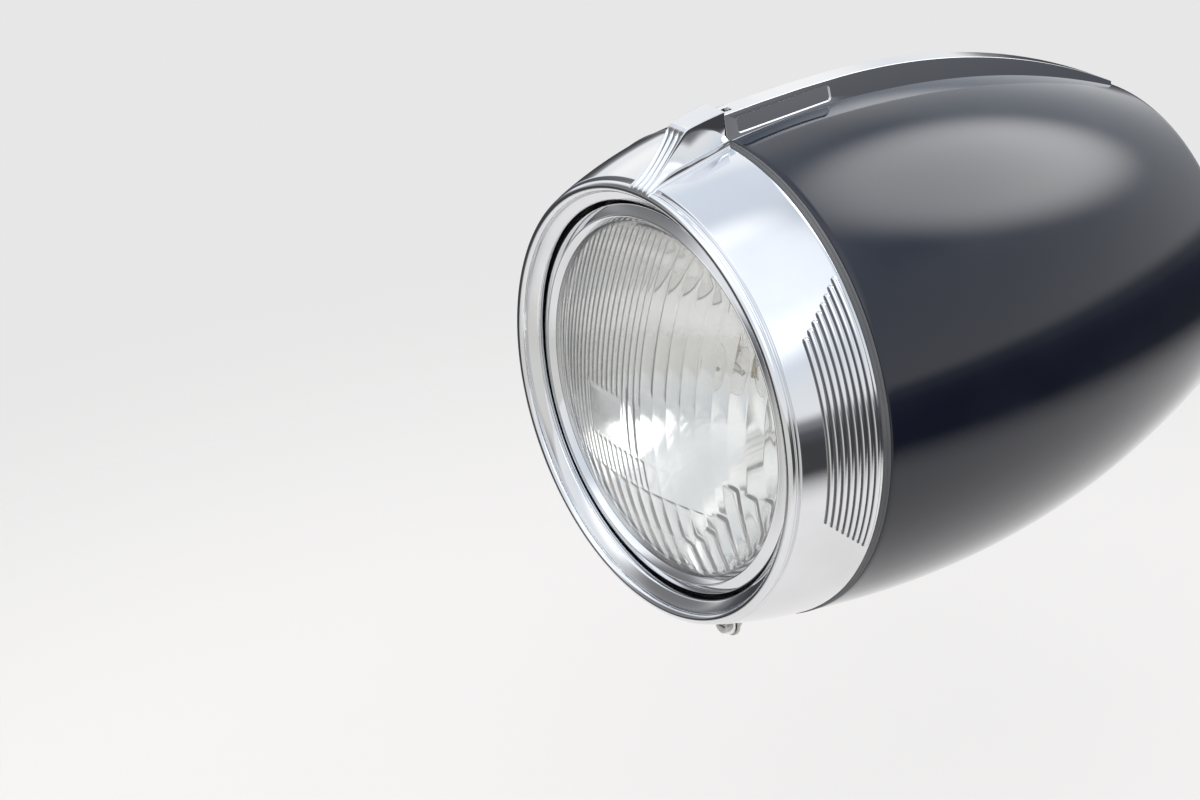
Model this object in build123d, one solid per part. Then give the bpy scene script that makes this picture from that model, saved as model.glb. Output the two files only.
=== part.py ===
# Headlamp of a 1950s car in a streamlined nacelle: domed glass in a bright ring, a deep
# bright rim with a crest and ribbed cheeks that swings up on a pin, a gimbal that lets the
# light unit be aimed, and a hollow steel pod that bolts to the front of the wing.
#
# Every size is set out from the centre of the rim's front lip: y runs rearward, z up and
# x towards the middle of the car. The last step moves each piece so that the origin lies
# at the centre of the pod's mounting face.
import os
from math import asin, degrees, sqrt

from build123d import *


# Radius of the arc that falls by a drop over a distance from its top point.
def arc_radius(distance, drop):
    return (distance**2 + drop**2) / (2 * drop)


# Height of an arc of the given radius below its top point, at a distance along it.
def sag(radius, distance):
    return radius - sqrt(radius**2 - distance**2)


# Rim: front lip, barrel, rear edge and the dish that runs in from the lip
LIP_R = 105.0
REAR_R = LIP_R + 11.0
RIM_DEPTH = 44.0
RIM_RISE = 2.5  # the rear circle stands this much higher than the lip
BARREL_BULGE = 1.2
RIM_SHEET = 1.2
LIP_BEAD_R = 1.9
DISH_START_R = LIP_R - 1.5
DISH_START_Y = 1.2
DISH_EDGE_R = LIP_R - 9.4
DISH_DEPTH = 6.5
DISH_SHEET = 1.2

# Ribs on the cheeks of the barrel, between slanted lines at the top and at the bottom
RIBS = 8
RIB_FIRST_Y = 18.6
RIB_PITCH = (RIM_DEPTH - 3.0 - RIB_FIRST_Y) / (RIBS - 1)
RIB_R = 2.0
RIB_SUNK = 0.8
RIB_TOP_ANGLE = (59.0, 49.0)  # first and last rib, in degrees from the crest
RIB_LOW_ANGLE = (103.0, 113.0)

# Pod: an arc turned about the axis of the rim's rear circle
POD_LENGTH = 290.0
POD_FRONT_Y = RIM_DEPTH + 4.0
POD_MAX_R = REAR_R + 4.8
POD_MAX_Y = POD_FRONT_Y + 62.0
POD_TAIL_R = 85.0
POD_ARC_R = arc_radius(POD_LENGTH - POD_MAX_Y, POD_MAX_R - POD_TAIL_R)
POD_SHEET = 1.5
MOUNT_FLANGE = 3.0
MOUNT_OPENING_R = 58.0
MOUNT_BOLT_CIRCLE_R = 70.0
MOUNT_HOLE_R = 3.3
MOUNT_HOLES = 6

# Light unit: glass, bright ring, reflector and the channel that carries them
GLASS_R = LIP_R - 20.0
GLASS_EDGE_Y = 9.6
GLASS_DOME = 21.0
GLASS_THICK = 3.5
GLASS_FLANGE = 2.0
SEAL_OVERLAP = 1.5  # how far the seal reaches in behind the glass
SEAL_WIDTH = 6.0
RING_R = LIP_R - 11.5
RING_SHEET = 1.0
RING_CREST_R = GLASS_R + 3.0
RING_CREST_Y = 7.0
RING_CREST_HALF = 0.5
RING_CREST_HEIGHT = 0.3
RING_SHOULDER_Y = 8.9
RING_SHOULDER_R = RING_R - 0.6
RING_CORNER = 0.4

# Flutes pressed into the inside of the glass: upright bars that follow the dome
GLASS_FLUTES = 16
GLASS_FLUTE_PITCH = 8.5
GLASS_FLUTE_R = 8.5
GLASS_FLUTE_DEPTH = 1.0
GLASS_PLAIN_EDGE = 7.0  # width of the plain border round the flutes
REFLECTOR_R = GLASS_R - 3.0
REFLECTOR_FRONT_Y = 16.0
REFLECTOR_FOCUS = 25.0
REFLECTOR_SHEET = 1.0
SEAT_R = LIP_R - 14.2
SEAT_SHEET = 2.4
SEAT_LENGTH = 19.0
SEAT_WEB_GAP = 1.5
SEAT_FIT = 0.3

# Bulb, its holder and the collar that centres both in the reflector
BULB_HOLE_R = 15.0
BULB_COLLAR = 6.0
BULB_COLLAR_SHEET = 1.2
BULB_R = 11.5
BULB_NECK_R = 7.0
BULB_CAP_R = 9.0
BULB_CAP_FRONT = 8.0
BULB_CAP_REAR = 20.0
BULB_FIT = 0.2
HOLDER_LENGTH = 22.0
HOLDER_FLANGE = 5.0
HOLDER_FLANGE_SHEET = 3.0

# Gimbal: ring between bowl and light unit, with pins on two crossed axes
AIM_Y = 30.0
GIMBAL_OUT_R = LIP_R - 8.0
GIMBAL_IN_R = GIMBAL_OUT_R - 4.0
GIMBAL_WIDTH = 10.0
PIN_R = 2.5
PIN_FIT = 0.05
PIN_SHORT = 0.6  # each pivot pin ends this far inside the ring it holds
SIDE_PIN_SHORT = 0.2

# Depth at which the reflector has narrowed to the bulb hole.
REFLECTOR_NECK_Y = REFLECTOR_FRONT_Y + (REFLECTOR_R**2 - BULB_HOLE_R**2) / (4 * REFLECTOR_FOCUS)

# Bowl: the fixed can behind the light unit
BOWL_R = LIP_R - 5.0
BOWL_SHEET = 1.2
BOWL_FRONT_Y = 14.0
BOWL_CABLE_ROOM = 41.0
BOWL_BACK_Y = REFLECTOR_NECK_Y + BULB_COLLAR + HOLDER_LENGTH + BOWL_CABLE_ROOM
BOWL_SHOULDER_Y = BOWL_BACK_Y - 50.0
BOWL_BACK_R = 46.0
BOWL_CROWN_Y = 12.0  # how far the rounded shoulder stands out from a straight cone
BOWL_CROWN_R = 14.0
BOWL_FLANGE_R = BOWL_R + 10.0
BOWL_FLANGE_FIT = 0.4
BOWL_FIT = 1.0
BOWL_SCREWS = 4
BOWL_SCREW_CIRCLE_R = BOWL_R + 5.0
BOWL_SCREW_R = 2.0
BOWL_SCREW_HEAD_R = 3.6
BOWL_SCREW_HEAD = 2.2
BOWL_SCREW_LENGTH = 9.0
CABLE_HOLE_R = 10.0
GROMMET_BORE_R = 5.0
GROMMET_LIP = 3.0
GROMMET_INSIDE = 2.5
GROMMET_TAIL = 8.0

# Strip on the pod, with a shallow panel in each side
STRIP_HALF = 5.0
STRIP_TOP_Y = POD_MAX_Y + 2.0
STRIP_TOP_Z = RIM_RISE + POD_MAX_R + 10.7
STRIP_FRONT_Y = RIM_DEPTH + 1.4
STRIP_FRONT_ARC_R = 800.0
STRIP_END_Y = POD_LENGTH - 6.0
STRIP_END_HEIGHT = 2.2  # above the pod
PANEL_LENGTH = 54.0
PANEL_WIDTH = 7.2
PANEL_CORNER_R = 1.6
PANEL_DEPTH = 0.8
PANEL_DROP = 6.4
PANEL_SLOPE = 3.2

# Crest on the rim
CREST_TOP_HALF = 7.2
CREST_BASE_HALF = 9.0
CREST_FOOT_OUT = 0.6
CREST_ROOT_Z = LIP_R - 6.0  # deep enough to lie below the barrel all the way
CREST_WALL_FOOT = 6.0  # the side walls start to flare this high above the barrel
CREST_WALL_FLARE = 0.6
CREST_FACET_Y = 23.5
CREST_FACET_Z = LIP_R + 25.0
CREST_REAR_Z = STRIP_TOP_Z
CREST_FRONT_HOLLOW = 1.0
CREST_TOP_BULGE = 0.3
CREST_LIP_HALF = 6.0
CREST_WAIST_HALF = 5.2
CREST_WAIST_Y = 12.0
FLUTES = 3
FLUTE_PITCH = 3.3
FLUTE_R = 1.9
FLUTE_DEPTH = 0.9

# Hinge between the crest and the front end of the strip
HINGE_Y = POD_FRONT_Y + 1.0
HINGE_Z = STRIP_TOP_Z - 6.0
HINGE_PIN_R = 1.3
HINGE_PIN_HALF = STRIP_HALF - 0.8
KNUCKLE_R = 2.7
KNUCKLE_HALF = 1.6
KNUCKLE_SIDE_GAP = 0.4
KNUCKLE_REAR_GAP = 0.6
KNUCKLE_SLOT_DEPTH = 7.7  # below the pin
KNUCKLE_SLOT_HEIGHT = 30.0
KNUCKLE_SLOT_LENGTH = 20.0
TONGUE_HEIGHT = 3.6

# Clamp under the rim: a tab on its rear edge, a captive screw and a catch with a nut
CLAMP_DROP = 13.0  # the screw stands this far below the pod's front edge
TAB_HALF = 6.0
TAB_SHEET = 1.5
CLAMP_SCREW_R = 2.0
CLAMP_SCREW_LENGTH = 10.5
CLAMP_HEAD_R = 4.5
CLAMP_HEAD = 3.5
CLAMP_SLOT = 1.0
CLAMP_SLOT_DEPTH = 1.2
CLAMP_PLAY = 0.6
CATCH_GAP = 0.3
CATCH_HALF = 7.0
CATCH_SHEET = 1.5
CATCH_FOOT = 18.0
CATCH_FOOT_DROP = 2.4
CATCH_FOOT_BLOCK = 10.0  # the pod's belly cuts the foot's block down to its sheet
CATCH_NUT_R = 4.2
CATCH_NUT = 4.0

# How far a cutting shape runs past the piece that it cuts
OVER = 1.0


# Closed face from a start point and steps: a point is a straight line to it, and a pair of
# points is an arc through the first to the second.
def outline(start, *steps):
    edges = []
    here = start
    for step in steps + (start,):
        if isinstance(step[0], tuple):
            middle, there = step
            edges.append(ThreePointArc(here, middle, there))
        else:
            there = step
            edges.append(Line(here, there))
        here = there
    return make_face(edges)


# Solid turned about the lamp's axis from an outline in (y, radius).
def turned(face, rise=0.0):
    return Pos(0, 0, rise) * revolve(Plane.YZ * face, Axis.Y)


# Round bar along y from one depth to another.
def disc(radius, front, rear, x=0.0, z=0.0):
    return Pos(x, (front + rear) / 2, z) * Rot(90, 0, 0) * Cylinder(radius, rear - front)


# Flat ring along y.
def washer(out_r, in_r, front, rear):
    return disc(out_r, front, rear) - disc(in_r, front - OVER, rear + OVER)


# Round bar along x or z.
def bar_x(radius, x_from, x_to, y, z):
    return Pos((x_from + x_to) / 2, y, z) * Rot(0, 90, 0) * Cylinder(radius, x_to - x_from)


def bar_z(radius, z_from, z_to, x, y):
    return Pos(x, y, (z_from + z_to) / 2) * Cylinder(radius, z_to - z_from)


# The same span of radii on both sides of the axis, as pairs from low to high.
def both_sides(near, far):
    return ((near, far), (-far, -near))


def pod_radius(y):
    return POD_MAX_R - sag(POD_ARC_R, y - POD_MAX_Y)


def strip_top(y):
    if y < STRIP_TOP_Y:
        return STRIP_TOP_Z - sag(STRIP_FRONT_ARC_R, y - STRIP_TOP_Y)
    end_z = RIM_RISE + pod_radius(STRIP_END_Y) + STRIP_END_HEIGHT
    rear_arc_r = arc_radius(STRIP_END_Y - STRIP_TOP_Y, STRIP_TOP_Z - end_z)
    return STRIP_TOP_Z - sag(rear_arc_r, y - STRIP_TOP_Y)


def barrel_radius(y):
    t = y / RIM_DEPTH
    return LIP_R + (REAR_R - LIP_R) * t + 4 * BARREL_BULGE * t * (1 - t)


def barrel_centre(y):
    return RIM_RISE * y / RIM_DEPTH


# Rim barrel as a loft through three circles, drawn in by an inset.
def barrel(inset, front, rear):
    circles = []
    for y in (front, (front + rear) / 2, rear):
        plane = Plane(origin=(0, y, barrel_centre(y)), x_dir=(1, 0, 0), z_dir=(0, -1, 0))
        circles.append(plane * Circle(barrel_radius(y) - inset))
    return loft(circles)


# Solid of the pod's outside, drawn in by an inset.
def pod_body(inset, front, rear):
    def edge(y):
        return (y, POD_MAX_R - inset - sag(POD_ARC_R - inset, y - POD_MAX_Y))

    face = outline((front, 0), edge(front), (edge(POD_MAX_Y), edge(rear)), (rear, 0))
    return turned(face, RIM_RISE)


def bowl_screw_places():
    places = []
    for spot in PolarLocations(BOWL_SCREW_CIRCLE_R, BOWL_SCREWS, start_angle=45):
        places.append((spot.position.X, spot.position.Y))
    return places


def make_nacelle_shell():
    wall_front = POD_FRONT_Y + POD_SHEET
    wall_rear = POD_LENGTH - MOUNT_FLANGE
    shell = pod_body(0, POD_FRONT_Y, POD_LENGTH) - pod_body(POD_SHEET, wall_front, wall_rear)
    shell -= disc(BOWL_R + BOWL_FIT, POD_FRONT_Y - OVER, wall_front + OVER)
    shell -= disc(MOUNT_OPENING_R, wall_rear - OVER, POD_LENGTH + OVER, z=RIM_RISE)
    for spot in PolarLocations(MOUNT_BOLT_CIRCLE_R, MOUNT_HOLES):
        x, z = spot.position.X, spot.position.Y + RIM_RISE
        shell -= disc(MOUNT_HOLE_R, wall_rear - OVER, POD_LENGTH + OVER, x, z)
    for x, z in bowl_screw_places():
        shell -= disc(BOWL_SCREW_R, POD_FRONT_Y - OVER, wall_front + OVER, x, z)
    return shell


def make_nacelle_strip():
    def top(y):
        return (y, strip_top(y))

    front_mid = (STRIP_FRONT_Y + STRIP_TOP_Y) / 2
    rear_mid = (STRIP_TOP_Y + STRIP_END_Y) / 2
    heart = pod_radius(STRIP_END_Y) / 2
    foot = RIM_RISE + REAR_R + 1
    face = outline(
        top(STRIP_FRONT_Y),
        (top(front_mid), top(STRIP_TOP_Y)),
        (top(rear_mid), top(STRIP_END_Y)),
        (STRIP_END_Y, heart),
        (POD_FRONT_Y, heart),
        (POD_FRONT_Y, foot),
        (STRIP_FRONT_Y, foot),
    )
    strip = extrude(Plane.YZ * face, STRIP_HALF, both=True)
    strip -= pod_body(0, POD_FRONT_Y, POD_LENGTH)
    strip -= make_strip_panels()
    slot_half = KNUCKLE_HALF + KNUCKLE_SIDE_GAP
    slot_y = HINGE_Y + KNUCKLE_R + KNUCKLE_REAR_GAP - KNUCKLE_SLOT_LENGTH / 2
    slot_z = HINGE_Z - KNUCKLE_SLOT_DEPTH + KNUCKLE_SLOT_HEIGHT / 2
    strip -= Pos(0, slot_y, slot_z) * Box(2 * slot_half, KNUCKLE_SLOT_LENGTH, KNUCKLE_SLOT_HEIGHT)
    return strip - make_hinge_pin()


# Cutters for the panels in the strip's sides: flat slabs with rounded corners that follow
# the slope of the strip.
def make_strip_panels():
    y = HINGE_Y + 3 + PANEL_LENGTH / 2
    panel = Rot(0, 0, PANEL_SLOPE) * RectangleRounded(PANEL_LENGTH, PANEL_WIDTH, PANEL_CORNER_R)
    panel = Plane.YZ * Pos(y, strip_top(y) - PANEL_DROP) * panel
    slabs = extrude(panel, STRIP_HALF + OVER, both=True)
    core = 2 * (STRIP_HALF - PANEL_DEPTH)
    return slabs - Pos(0, y, strip_top(y)) * Box(core, 2 * PANEL_LENGTH, 4 * PANEL_LENGTH)


def make_hinge_pin():
    return bar_x(HINGE_PIN_R, -HINGE_PIN_HALF, HINGE_PIN_HALF, HINGE_Y, HINGE_Z)


# Ring between the rim and the pod; its inside follows the bowl, which sits a little lower.
def make_rim_gasket():
    gasket = disc(pod_radius(POD_FRONT_Y), RIM_DEPTH, POD_FRONT_Y, z=RIM_RISE)
    return gasket - disc(BOWL_FLANGE_R + BOWL_FLANGE_FIT, RIM_DEPTH - OVER, POD_FRONT_Y + OVER)


def make_lamp_bowl():
    in_r = BOWL_R - BOWL_SHEET
    face_y = POD_FRONT_Y - BOWL_SHEET
    crown_y = (BOWL_SHOULDER_Y + BOWL_BACK_Y) / 2 + BOWL_CROWN_Y
    crown_r = (BOWL_BACK_R + BOWL_R) / 2 + BOWL_CROWN_R
    inset = BOWL_SHEET / sqrt(2)
    face = outline(
        (BOWL_FRONT_Y, in_r),
        (BOWL_FRONT_Y, BOWL_R),
        (face_y, BOWL_R),
        (face_y, BOWL_FLANGE_R),
        (POD_FRONT_Y, BOWL_FLANGE_R),
        (POD_FRONT_Y, BOWL_R),
        (BOWL_SHOULDER_Y, BOWL_R),
        ((crown_y, crown_r), (BOWL_BACK_Y, BOWL_BACK_R)),
        (BOWL_BACK_Y, CABLE_HOLE_R),
        (BOWL_BACK_Y - BOWL_SHEET, CABLE_HOLE_R),
        (BOWL_BACK_Y - BOWL_SHEET, BOWL_BACK_R - BOWL_SHEET),
        ((crown_y - inset, crown_r - inset), (BOWL_SHOULDER_Y, in_r)),
    )
    bowl = turned(face)
    for x, z in bowl_screw_places():
        bowl -= disc(BOWL_SCREW_R, face_y - OVER, POD_FRONT_Y + OVER, x, z)
    for low, high in both_sides(in_r - OVER, BOWL_R + OVER):
        bowl -= bar_z(PIN_R, low, high, 0, AIM_Y)
    return bowl


def make_bowl_screws():
    face_y = POD_FRONT_Y - BOWL_SHEET
    screws = []
    for x, z in bowl_screw_places():
        head = disc(BOWL_SCREW_HEAD_R, face_y - BOWL_SCREW_HEAD, face_y, x, z)
        screws.append(head + disc(BOWL_SCREW_R, face_y - OVER, face_y + BOWL_SCREW_LENGTH, x, z))
    return Compound(screws)


# Grommet held by a lip on each side of the bowl's back, with a tail that narrows.
def make_cable_grommet():
    inner_face = BOWL_BACK_Y - BOWL_SHEET
    lip_r = CABLE_HOLE_R + GROMMET_LIP
    face = outline(
        (inner_face - GROMMET_INSIDE, GROMMET_BORE_R),
        (inner_face - GROMMET_INSIDE, lip_r),
        (inner_face, lip_r),
        (inner_face, CABLE_HOLE_R),
        (BOWL_BACK_Y, CABLE_HOLE_R),
        (BOWL_BACK_Y, lip_r),
        (BOWL_BACK_Y + GROMMET_TAIL, GROMMET_BORE_R + GROMMET_LIP),
        (BOWL_BACK_Y + GROMMET_TAIL, GROMMET_BORE_R),
    )
    return turned(face)


# Pins at top and bottom, fixed in the bowl's wall and reaching through the gimbal ring.
def make_pivot_pins():
    pins = []
    for low, high in both_sides(GIMBAL_IN_R + PIN_SHORT, BOWL_R):
        pins.append(bar_z(PIN_R, low, high, 0, AIM_Y))
    return Compound(pins)


def make_gimbal_ring():
    half = GIMBAL_WIDTH / 2
    ring = washer(GIMBAL_OUT_R, GIMBAL_IN_R, AIM_Y - half, AIM_Y + half)
    for low, high in both_sides(GIMBAL_IN_R - 5, GIMBAL_OUT_R + OVER):
        ring -= bar_z(PIN_R + PIN_FIT, low, high, 0, AIM_Y)
        ring -= bar_x(PIN_R + PIN_FIT, low, high, AIM_Y, 0)
    return ring


# Channel that carries the reflector and the lens, with a flange inside the bright ring and
# the two side pins of the gimbal.
def make_seat_ring():
    front = REFLECTOR_FRONT_Y + REFLECTOR_SHEET
    flange_r = RING_R - RING_SHEET
    web_r = REFLECTOR_R + SEAT_WEB_GAP
    face = outline(
        (front, web_r),
        (front, flange_r),
        (front + RING_SHEET, flange_r),
        (front + RING_SHEET, SEAT_R),
        (front + SEAT_LENGTH, SEAT_R),
        (front + SEAT_LENGTH, SEAT_R - SEAT_SHEET),
        (front + SEAT_SHEET, SEAT_R - SEAT_SHEET),
        (front + SEAT_SHEET, web_r),
    )
    ring = turned(face)
    for low, high in both_sides(SEAT_R - SEAT_SHEET / 2, GIMBAL_OUT_R - SIDE_PIN_SHORT):
        ring += bar_x(PIN_R, low, high, AIM_Y, 0)
    return ring


# Upright bar inside the glass at a distance from its middle: part of a torus about the
# centre of the dome, so that it stands out from the inside by the same height all along.
def make_glass_flute(x, dome_r):
    bow_r = sqrt(dome_r**2 - x**2)
    length = sqrt((GLASS_R - GLASS_PLAIN_EDGE) ** 2 - x**2)
    angle = degrees(asin(length / bow_r))
    section = Pos(x, -(bow_r + GLASS_FLUTE_R - GLASS_FLUTE_DEPTH)) * Circle(GLASS_FLUTE_R)
    return Rot(-angle, 0, 0) * revolve(section, Axis.X, 2 * angle)


# Domed glass, fluted inside: its hollow is a second dome with a groove for every flute.
def make_lens():
    apex = GLASS_EDGE_Y - GLASS_DOME
    inner_apex = apex + GLASS_THICK
    back = GLASS_EDGE_Y + GLASS_THICK
    dome_r = arc_radius(GLASS_R, GLASS_DOME)
    drop = sag(dome_r, GLASS_R / 2)
    glass = turned(outline(
        (apex, 0),
        ((apex + drop, GLASS_R / 2), (GLASS_EDGE_Y, GLASS_R)),
        (GLASS_EDGE_Y, GLASS_R + GLASS_FLANGE),
        (back, GLASS_R + GLASS_FLANGE),
        (back, 0),
    ))
    hollow = turned(outline(
        (inner_apex, 0),
        ((inner_apex + drop, GLASS_R / 2), (back, GLASS_R)),
        (back + OVER, GLASS_R),
        (back + OVER, 0),
    ))
    for number in range(GLASS_FLUTES):
        x = (number - (GLASS_FLUTES - 1) / 2) * GLASS_FLUTE_PITCH
        hollow -= Pos(0, inner_apex + dome_r, 0) * make_glass_flute(x, dome_r)
    return glass - hollow


def make_lens_gasket():
    in_r = GLASS_R - SEAL_OVERLAP
    return washer(in_r + SEAL_WIDTH, in_r, GLASS_EDGE_Y + GLASS_THICK, REFLECTOR_FRONT_Y)


# Pressed ring with a sharp crest round the glass, a shoulder and a skirt over the flange of
# the seat ring.
def make_retaining_ring():
    back = REFLECTOR_FRONT_Y + REFLECTOR_SHEET + RING_SHEET
    crest_foot = RING_CREST_Y + RING_CREST_HEIGHT
    skirt_y = RING_SHOULDER_Y + 1.5 * RING_SHEET
    in_r = RING_R - RING_SHEET
    face = outline(
        (GLASS_EDGE_Y, GLASS_R),
        (crest_foot, RING_CREST_R - RING_CREST_HALF),
        ((RING_CREST_Y, RING_CREST_R), (crest_foot, RING_CREST_R + RING_CREST_HALF)),
        (RING_SHOULDER_Y, RING_SHOULDER_R),
        ((RING_SHOULDER_Y + RING_CORNER, RING_R - 0.75 * RING_CORNER), (skirt_y, RING_R)),
        (back, RING_R),
        (back, in_r),
        (skirt_y, in_r),
        (RING_SHOULDER_Y + RING_SHEET, RING_SHOULDER_R - RING_SHEET),
        (RING_CREST_Y + 1.2 * RING_SHEET, RING_CREST_R),
        (GLASS_EDGE_Y, GLASS_R + 1.4 * RING_SHEET),
    )
    return turned(face)


# Solid paraboloid with its axis along y; a Bezier of degree two is an exact parabola.
def paraboloid(grow):
    depth = REFLECTOR_R**2 / (4 * REFLECTOR_FOCUS)
    edge = (REFLECTOR_FRONT_Y + grow, REFLECTOR_R + grow)
    middle = (edge[0], 0)
    vertex = (edge[0] + depth, 0)
    curve = Bezier(vertex, (vertex[0], edge[1] / 2), edge)
    return turned(make_face([curve, Line(edge, middle), Line(middle, vertex)]))


def make_reflector():
    rear = REFLECTOR_FRONT_Y + REFLECTOR_SHEET
    shell = paraboloid(REFLECTOR_SHEET) - paraboloid(0)
    flange = washer(SEAT_R - SEAT_FIT, REFLECTOR_R, REFLECTOR_FRONT_Y, rear)
    collar_end = REFLECTOR_NECK_Y + BULB_COLLAR
    collar = disc(BULB_HOLE_R + BULB_COLLAR_SHEET, REFLECTOR_NECK_Y, collar_end)
    return shell + flange + collar - disc(BULB_HOLE_R, rear, collar_end + OVER)


def make_bulb_holder():
    seat = REFLECTOR_NECK_Y + BULB_COLLAR
    bore = BULB_CAP_R + BULB_FIT
    face = outline(
        (seat, bore),
        (seat, BULB_HOLE_R + HOLDER_FLANGE),
        (seat + HOLDER_FLANGE_SHEET, BULB_HOLE_R + HOLDER_FLANGE),
        (seat + HOLDER_FLANGE_SHEET, BULB_HOLE_R),
        (seat + HOLDER_LENGTH, BULB_HOLE_R - 1),
        (seat + HOLDER_LENGTH, bore),
    )
    return turned(face)


# Cap with the flange that centres the bulb in the collar.
def make_bulb_cap():
    seat = REFLECTOR_NECK_Y + BULB_COLLAR
    cap = disc(BULB_CAP_R, REFLECTOR_NECK_Y - BULB_CAP_FRONT, seat + BULB_CAP_REAR)
    return cap + disc(BULB_HOLE_R - BULB_FIT, seat - BULB_COLLAR / 4, seat)


# Globe round the reflector's focus and a neck down into the cap.
def make_bulb_glass():
    cap_front = REFLECTOR_NECK_Y - BULB_CAP_FRONT
    focus = REFLECTOR_FRONT_Y + REFLECTOR_R**2 / (4 * REFLECTOR_FOCUS) - REFLECTOR_FOCUS
    neck_y = focus + sqrt(BULB_R**2 - BULB_NECK_R**2)
    face = outline(
        (focus - BULB_R, 0),
        ((focus, BULB_R), (neck_y, BULB_NECK_R)),
        (cap_front, BULB_NECK_R),
        (cap_front, 0),
    )
    return turned(face)


# Rounded bar that follows the barrel part of the way round, with a ball at each end.
def make_rib(number):
    y = RIB_FIRST_Y + RIB_PITCH * number
    t = number / (RIBS - 1)
    start = RIB_TOP_ANGLE[0] + (RIB_TOP_ANGLE[1] - RIB_TOP_ANGLE[0]) * t
    end = RIB_LOW_ANGLE[0] + (RIB_LOW_ANGLE[1] - RIB_LOW_ANGLE[0]) * t
    reach = barrel_radius(y) - RIB_SUNK
    section = Plane.YZ * Pos(0, reach) * Circle(RIB_R)
    rib = Rot(0, start, 0) * revolve(section, Axis.Y, end - start)
    for angle in (start, end):
        rib += Rot(0, angle, 0) * Pos(0, 0, reach) * Sphere(RIB_R)
    return Pos(0, y, barrel_centre(y)) * rib


def make_lip_bead():
    return turned(Pos(LIP_BEAD_R, LIP_R - LIP_BEAD_R) * Circle(LIP_BEAD_R))


# Height of the clamp's screw.
def clamp_z():
    return RIM_RISE - pod_radius(POD_FRONT_Y) - CLAMP_DROP


# Plate that hangs from a height down to a round end about the clamp's screw.
def hanging_plate(half, top, front, rear):
    low = clamp_z()
    plate = Pos(0, (front + rear) / 2, (top + low) / 2) * Box(2 * half, rear - front, top - low)
    return plate + disc(half, front, rear, z=low)


def make_rim():
    outer = barrel(0, 0, RIM_DEPTH)
    for number in range(RIBS):
        rib = make_rib(number)
        outer += rib
        outer += mirror(rib, Plane.YZ)
    wall = outer - barrel(RIM_SHEET, -OVER, RIM_DEPTH + OVER)
    wall &= Pos(0, RIM_DEPTH / 2, 0) * Box(4 * LIP_R, RIM_DEPTH, 4 * LIP_R)
    dish = turned(outline(
        (DISH_START_Y, DISH_START_R),
        (DISH_DEPTH, DISH_EDGE_R),
        (DISH_DEPTH + DISH_SHEET, DISH_EDGE_R + DISH_SHEET / 4),
        (DISH_START_Y + 1.5 * DISH_SHEET, DISH_START_R),
    ))
    wall_low = barrel_centre(RIM_DEPTH) - REAR_R + RIM_SHEET / 2
    tab = hanging_plate(TAB_HALF, wall_low, RIM_DEPTH - TAB_SHEET, RIM_DEPTH)
    rim = wall + make_lip_bead() + dish + tab
    return rim - disc(CLAMP_SCREW_R, RIM_DEPTH / 2, RIM_DEPTH + OVER, z=clamp_z())


# Points of the hollow front of the crest's side view, from the lip to the facet.
def crest_front():
    middle_y, middle_z = CREST_FACET_Y / 2, (LIP_R + CREST_FACET_Z) / 2
    hollow = (middle_y + CREST_FRONT_HOLLOW, middle_z - CREST_FRONT_HOLLOW)
    return (0, LIP_R), hollow, (CREST_FACET_Y, CREST_FACET_Z)


# The crest is what three extrusions have in common: its side view, its plan and its
# section, which is run back along the slope of the barrel's top.
def make_rim_crest():
    root = CREST_ROOT_Z
    lip, hollow, facet = crest_front()
    top_y, top_z = (facet[0] + RIM_DEPTH) / 2, (facet[1] + CREST_REAR_Z) / 2
    side = outline(
        (0, root),
        lip,
        (hollow, facet),
        ((top_y, top_z + CREST_TOP_BULGE), (RIM_DEPTH, CREST_REAR_Z)),
        (RIM_DEPTH, root),
    )
    half_plan = outline(
        (0, 0),
        (CREST_LIP_HALF, 0),
        ((CREST_WAIST_HALF, CREST_WAIST_Y), (CREST_BASE_HALF, RIM_DEPTH)),
        (0, RIM_DEPTH),
    )
    plan = half_plan + mirror(half_plan, Plane.YZ)
    base_half = CREST_BASE_HALF + CREST_FOOT_OUT
    half_section = outline(
        (0, 40),
        (CREST_TOP_HALF, 40),
        (CREST_TOP_HALF, CREST_WALL_FOOT),
        ((CREST_TOP_HALF + CREST_WALL_FLARE, CREST_WALL_FOOT / 3), (base_half, 0)),
        (base_half, root - LIP_R),
        (0, root - LIP_R),
    )
    section = half_section + mirror(half_section, Plane.YZ)
    rise = REAR_R + RIM_RISE - LIP_R
    slope = Plane(origin=(0, 0, LIP_R), x_dir=(1, 0, 0), z_dir=(0, -RIM_DEPTH, -rise))
    crest = extrude(Plane.YZ * side, 2 * CREST_BASE_HALF, both=True)
    crest &= extrude(plan, 2 * CREST_REAR_Z)
    crest &= extrude(slope * section, 2 * RIM_DEPTH, both=True)
    for number in range(FLUTES):
        crest -= make_flute((number - (FLUTES - 1) / 2) * FLUTE_PITCH)
    crest -= barrel(0, 0, RIM_DEPTH)
    return crest - make_lip_bead()


# Round-bottomed groove up the hollow front of the crest: a torus about the centre of the
# front's arc, so that the groove is as deep all the way.
def make_flute(x):
    front = ThreePointArc(*crest_front())
    centre = front.arc_center
    return Pos(x, centre.X, centre.Y) * Rot(0, 90, 0) * Torus(
        front.radius - FLUTE_R + FLUTE_DEPTH, FLUTE_R)


def make_rim_hook():
    knuckle = bar_x(KNUCKLE_R, -KNUCKLE_HALF, KNUCKLE_HALF, HINGE_Y, HINGE_Z)
    tongue = Pos(0, (HINGE_Y + RIM_DEPTH) / 2, HINGE_Z) * Box(
        2 * KNUCKLE_HALF, HINGE_Y - RIM_DEPTH, TONGUE_HEIGHT)
    bore = bar_x(HINGE_PIN_R + PIN_FIT, -STRIP_HALF, STRIP_HALF, HINGE_Y, HINGE_Z)
    return knuckle + tongue - bore


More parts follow.
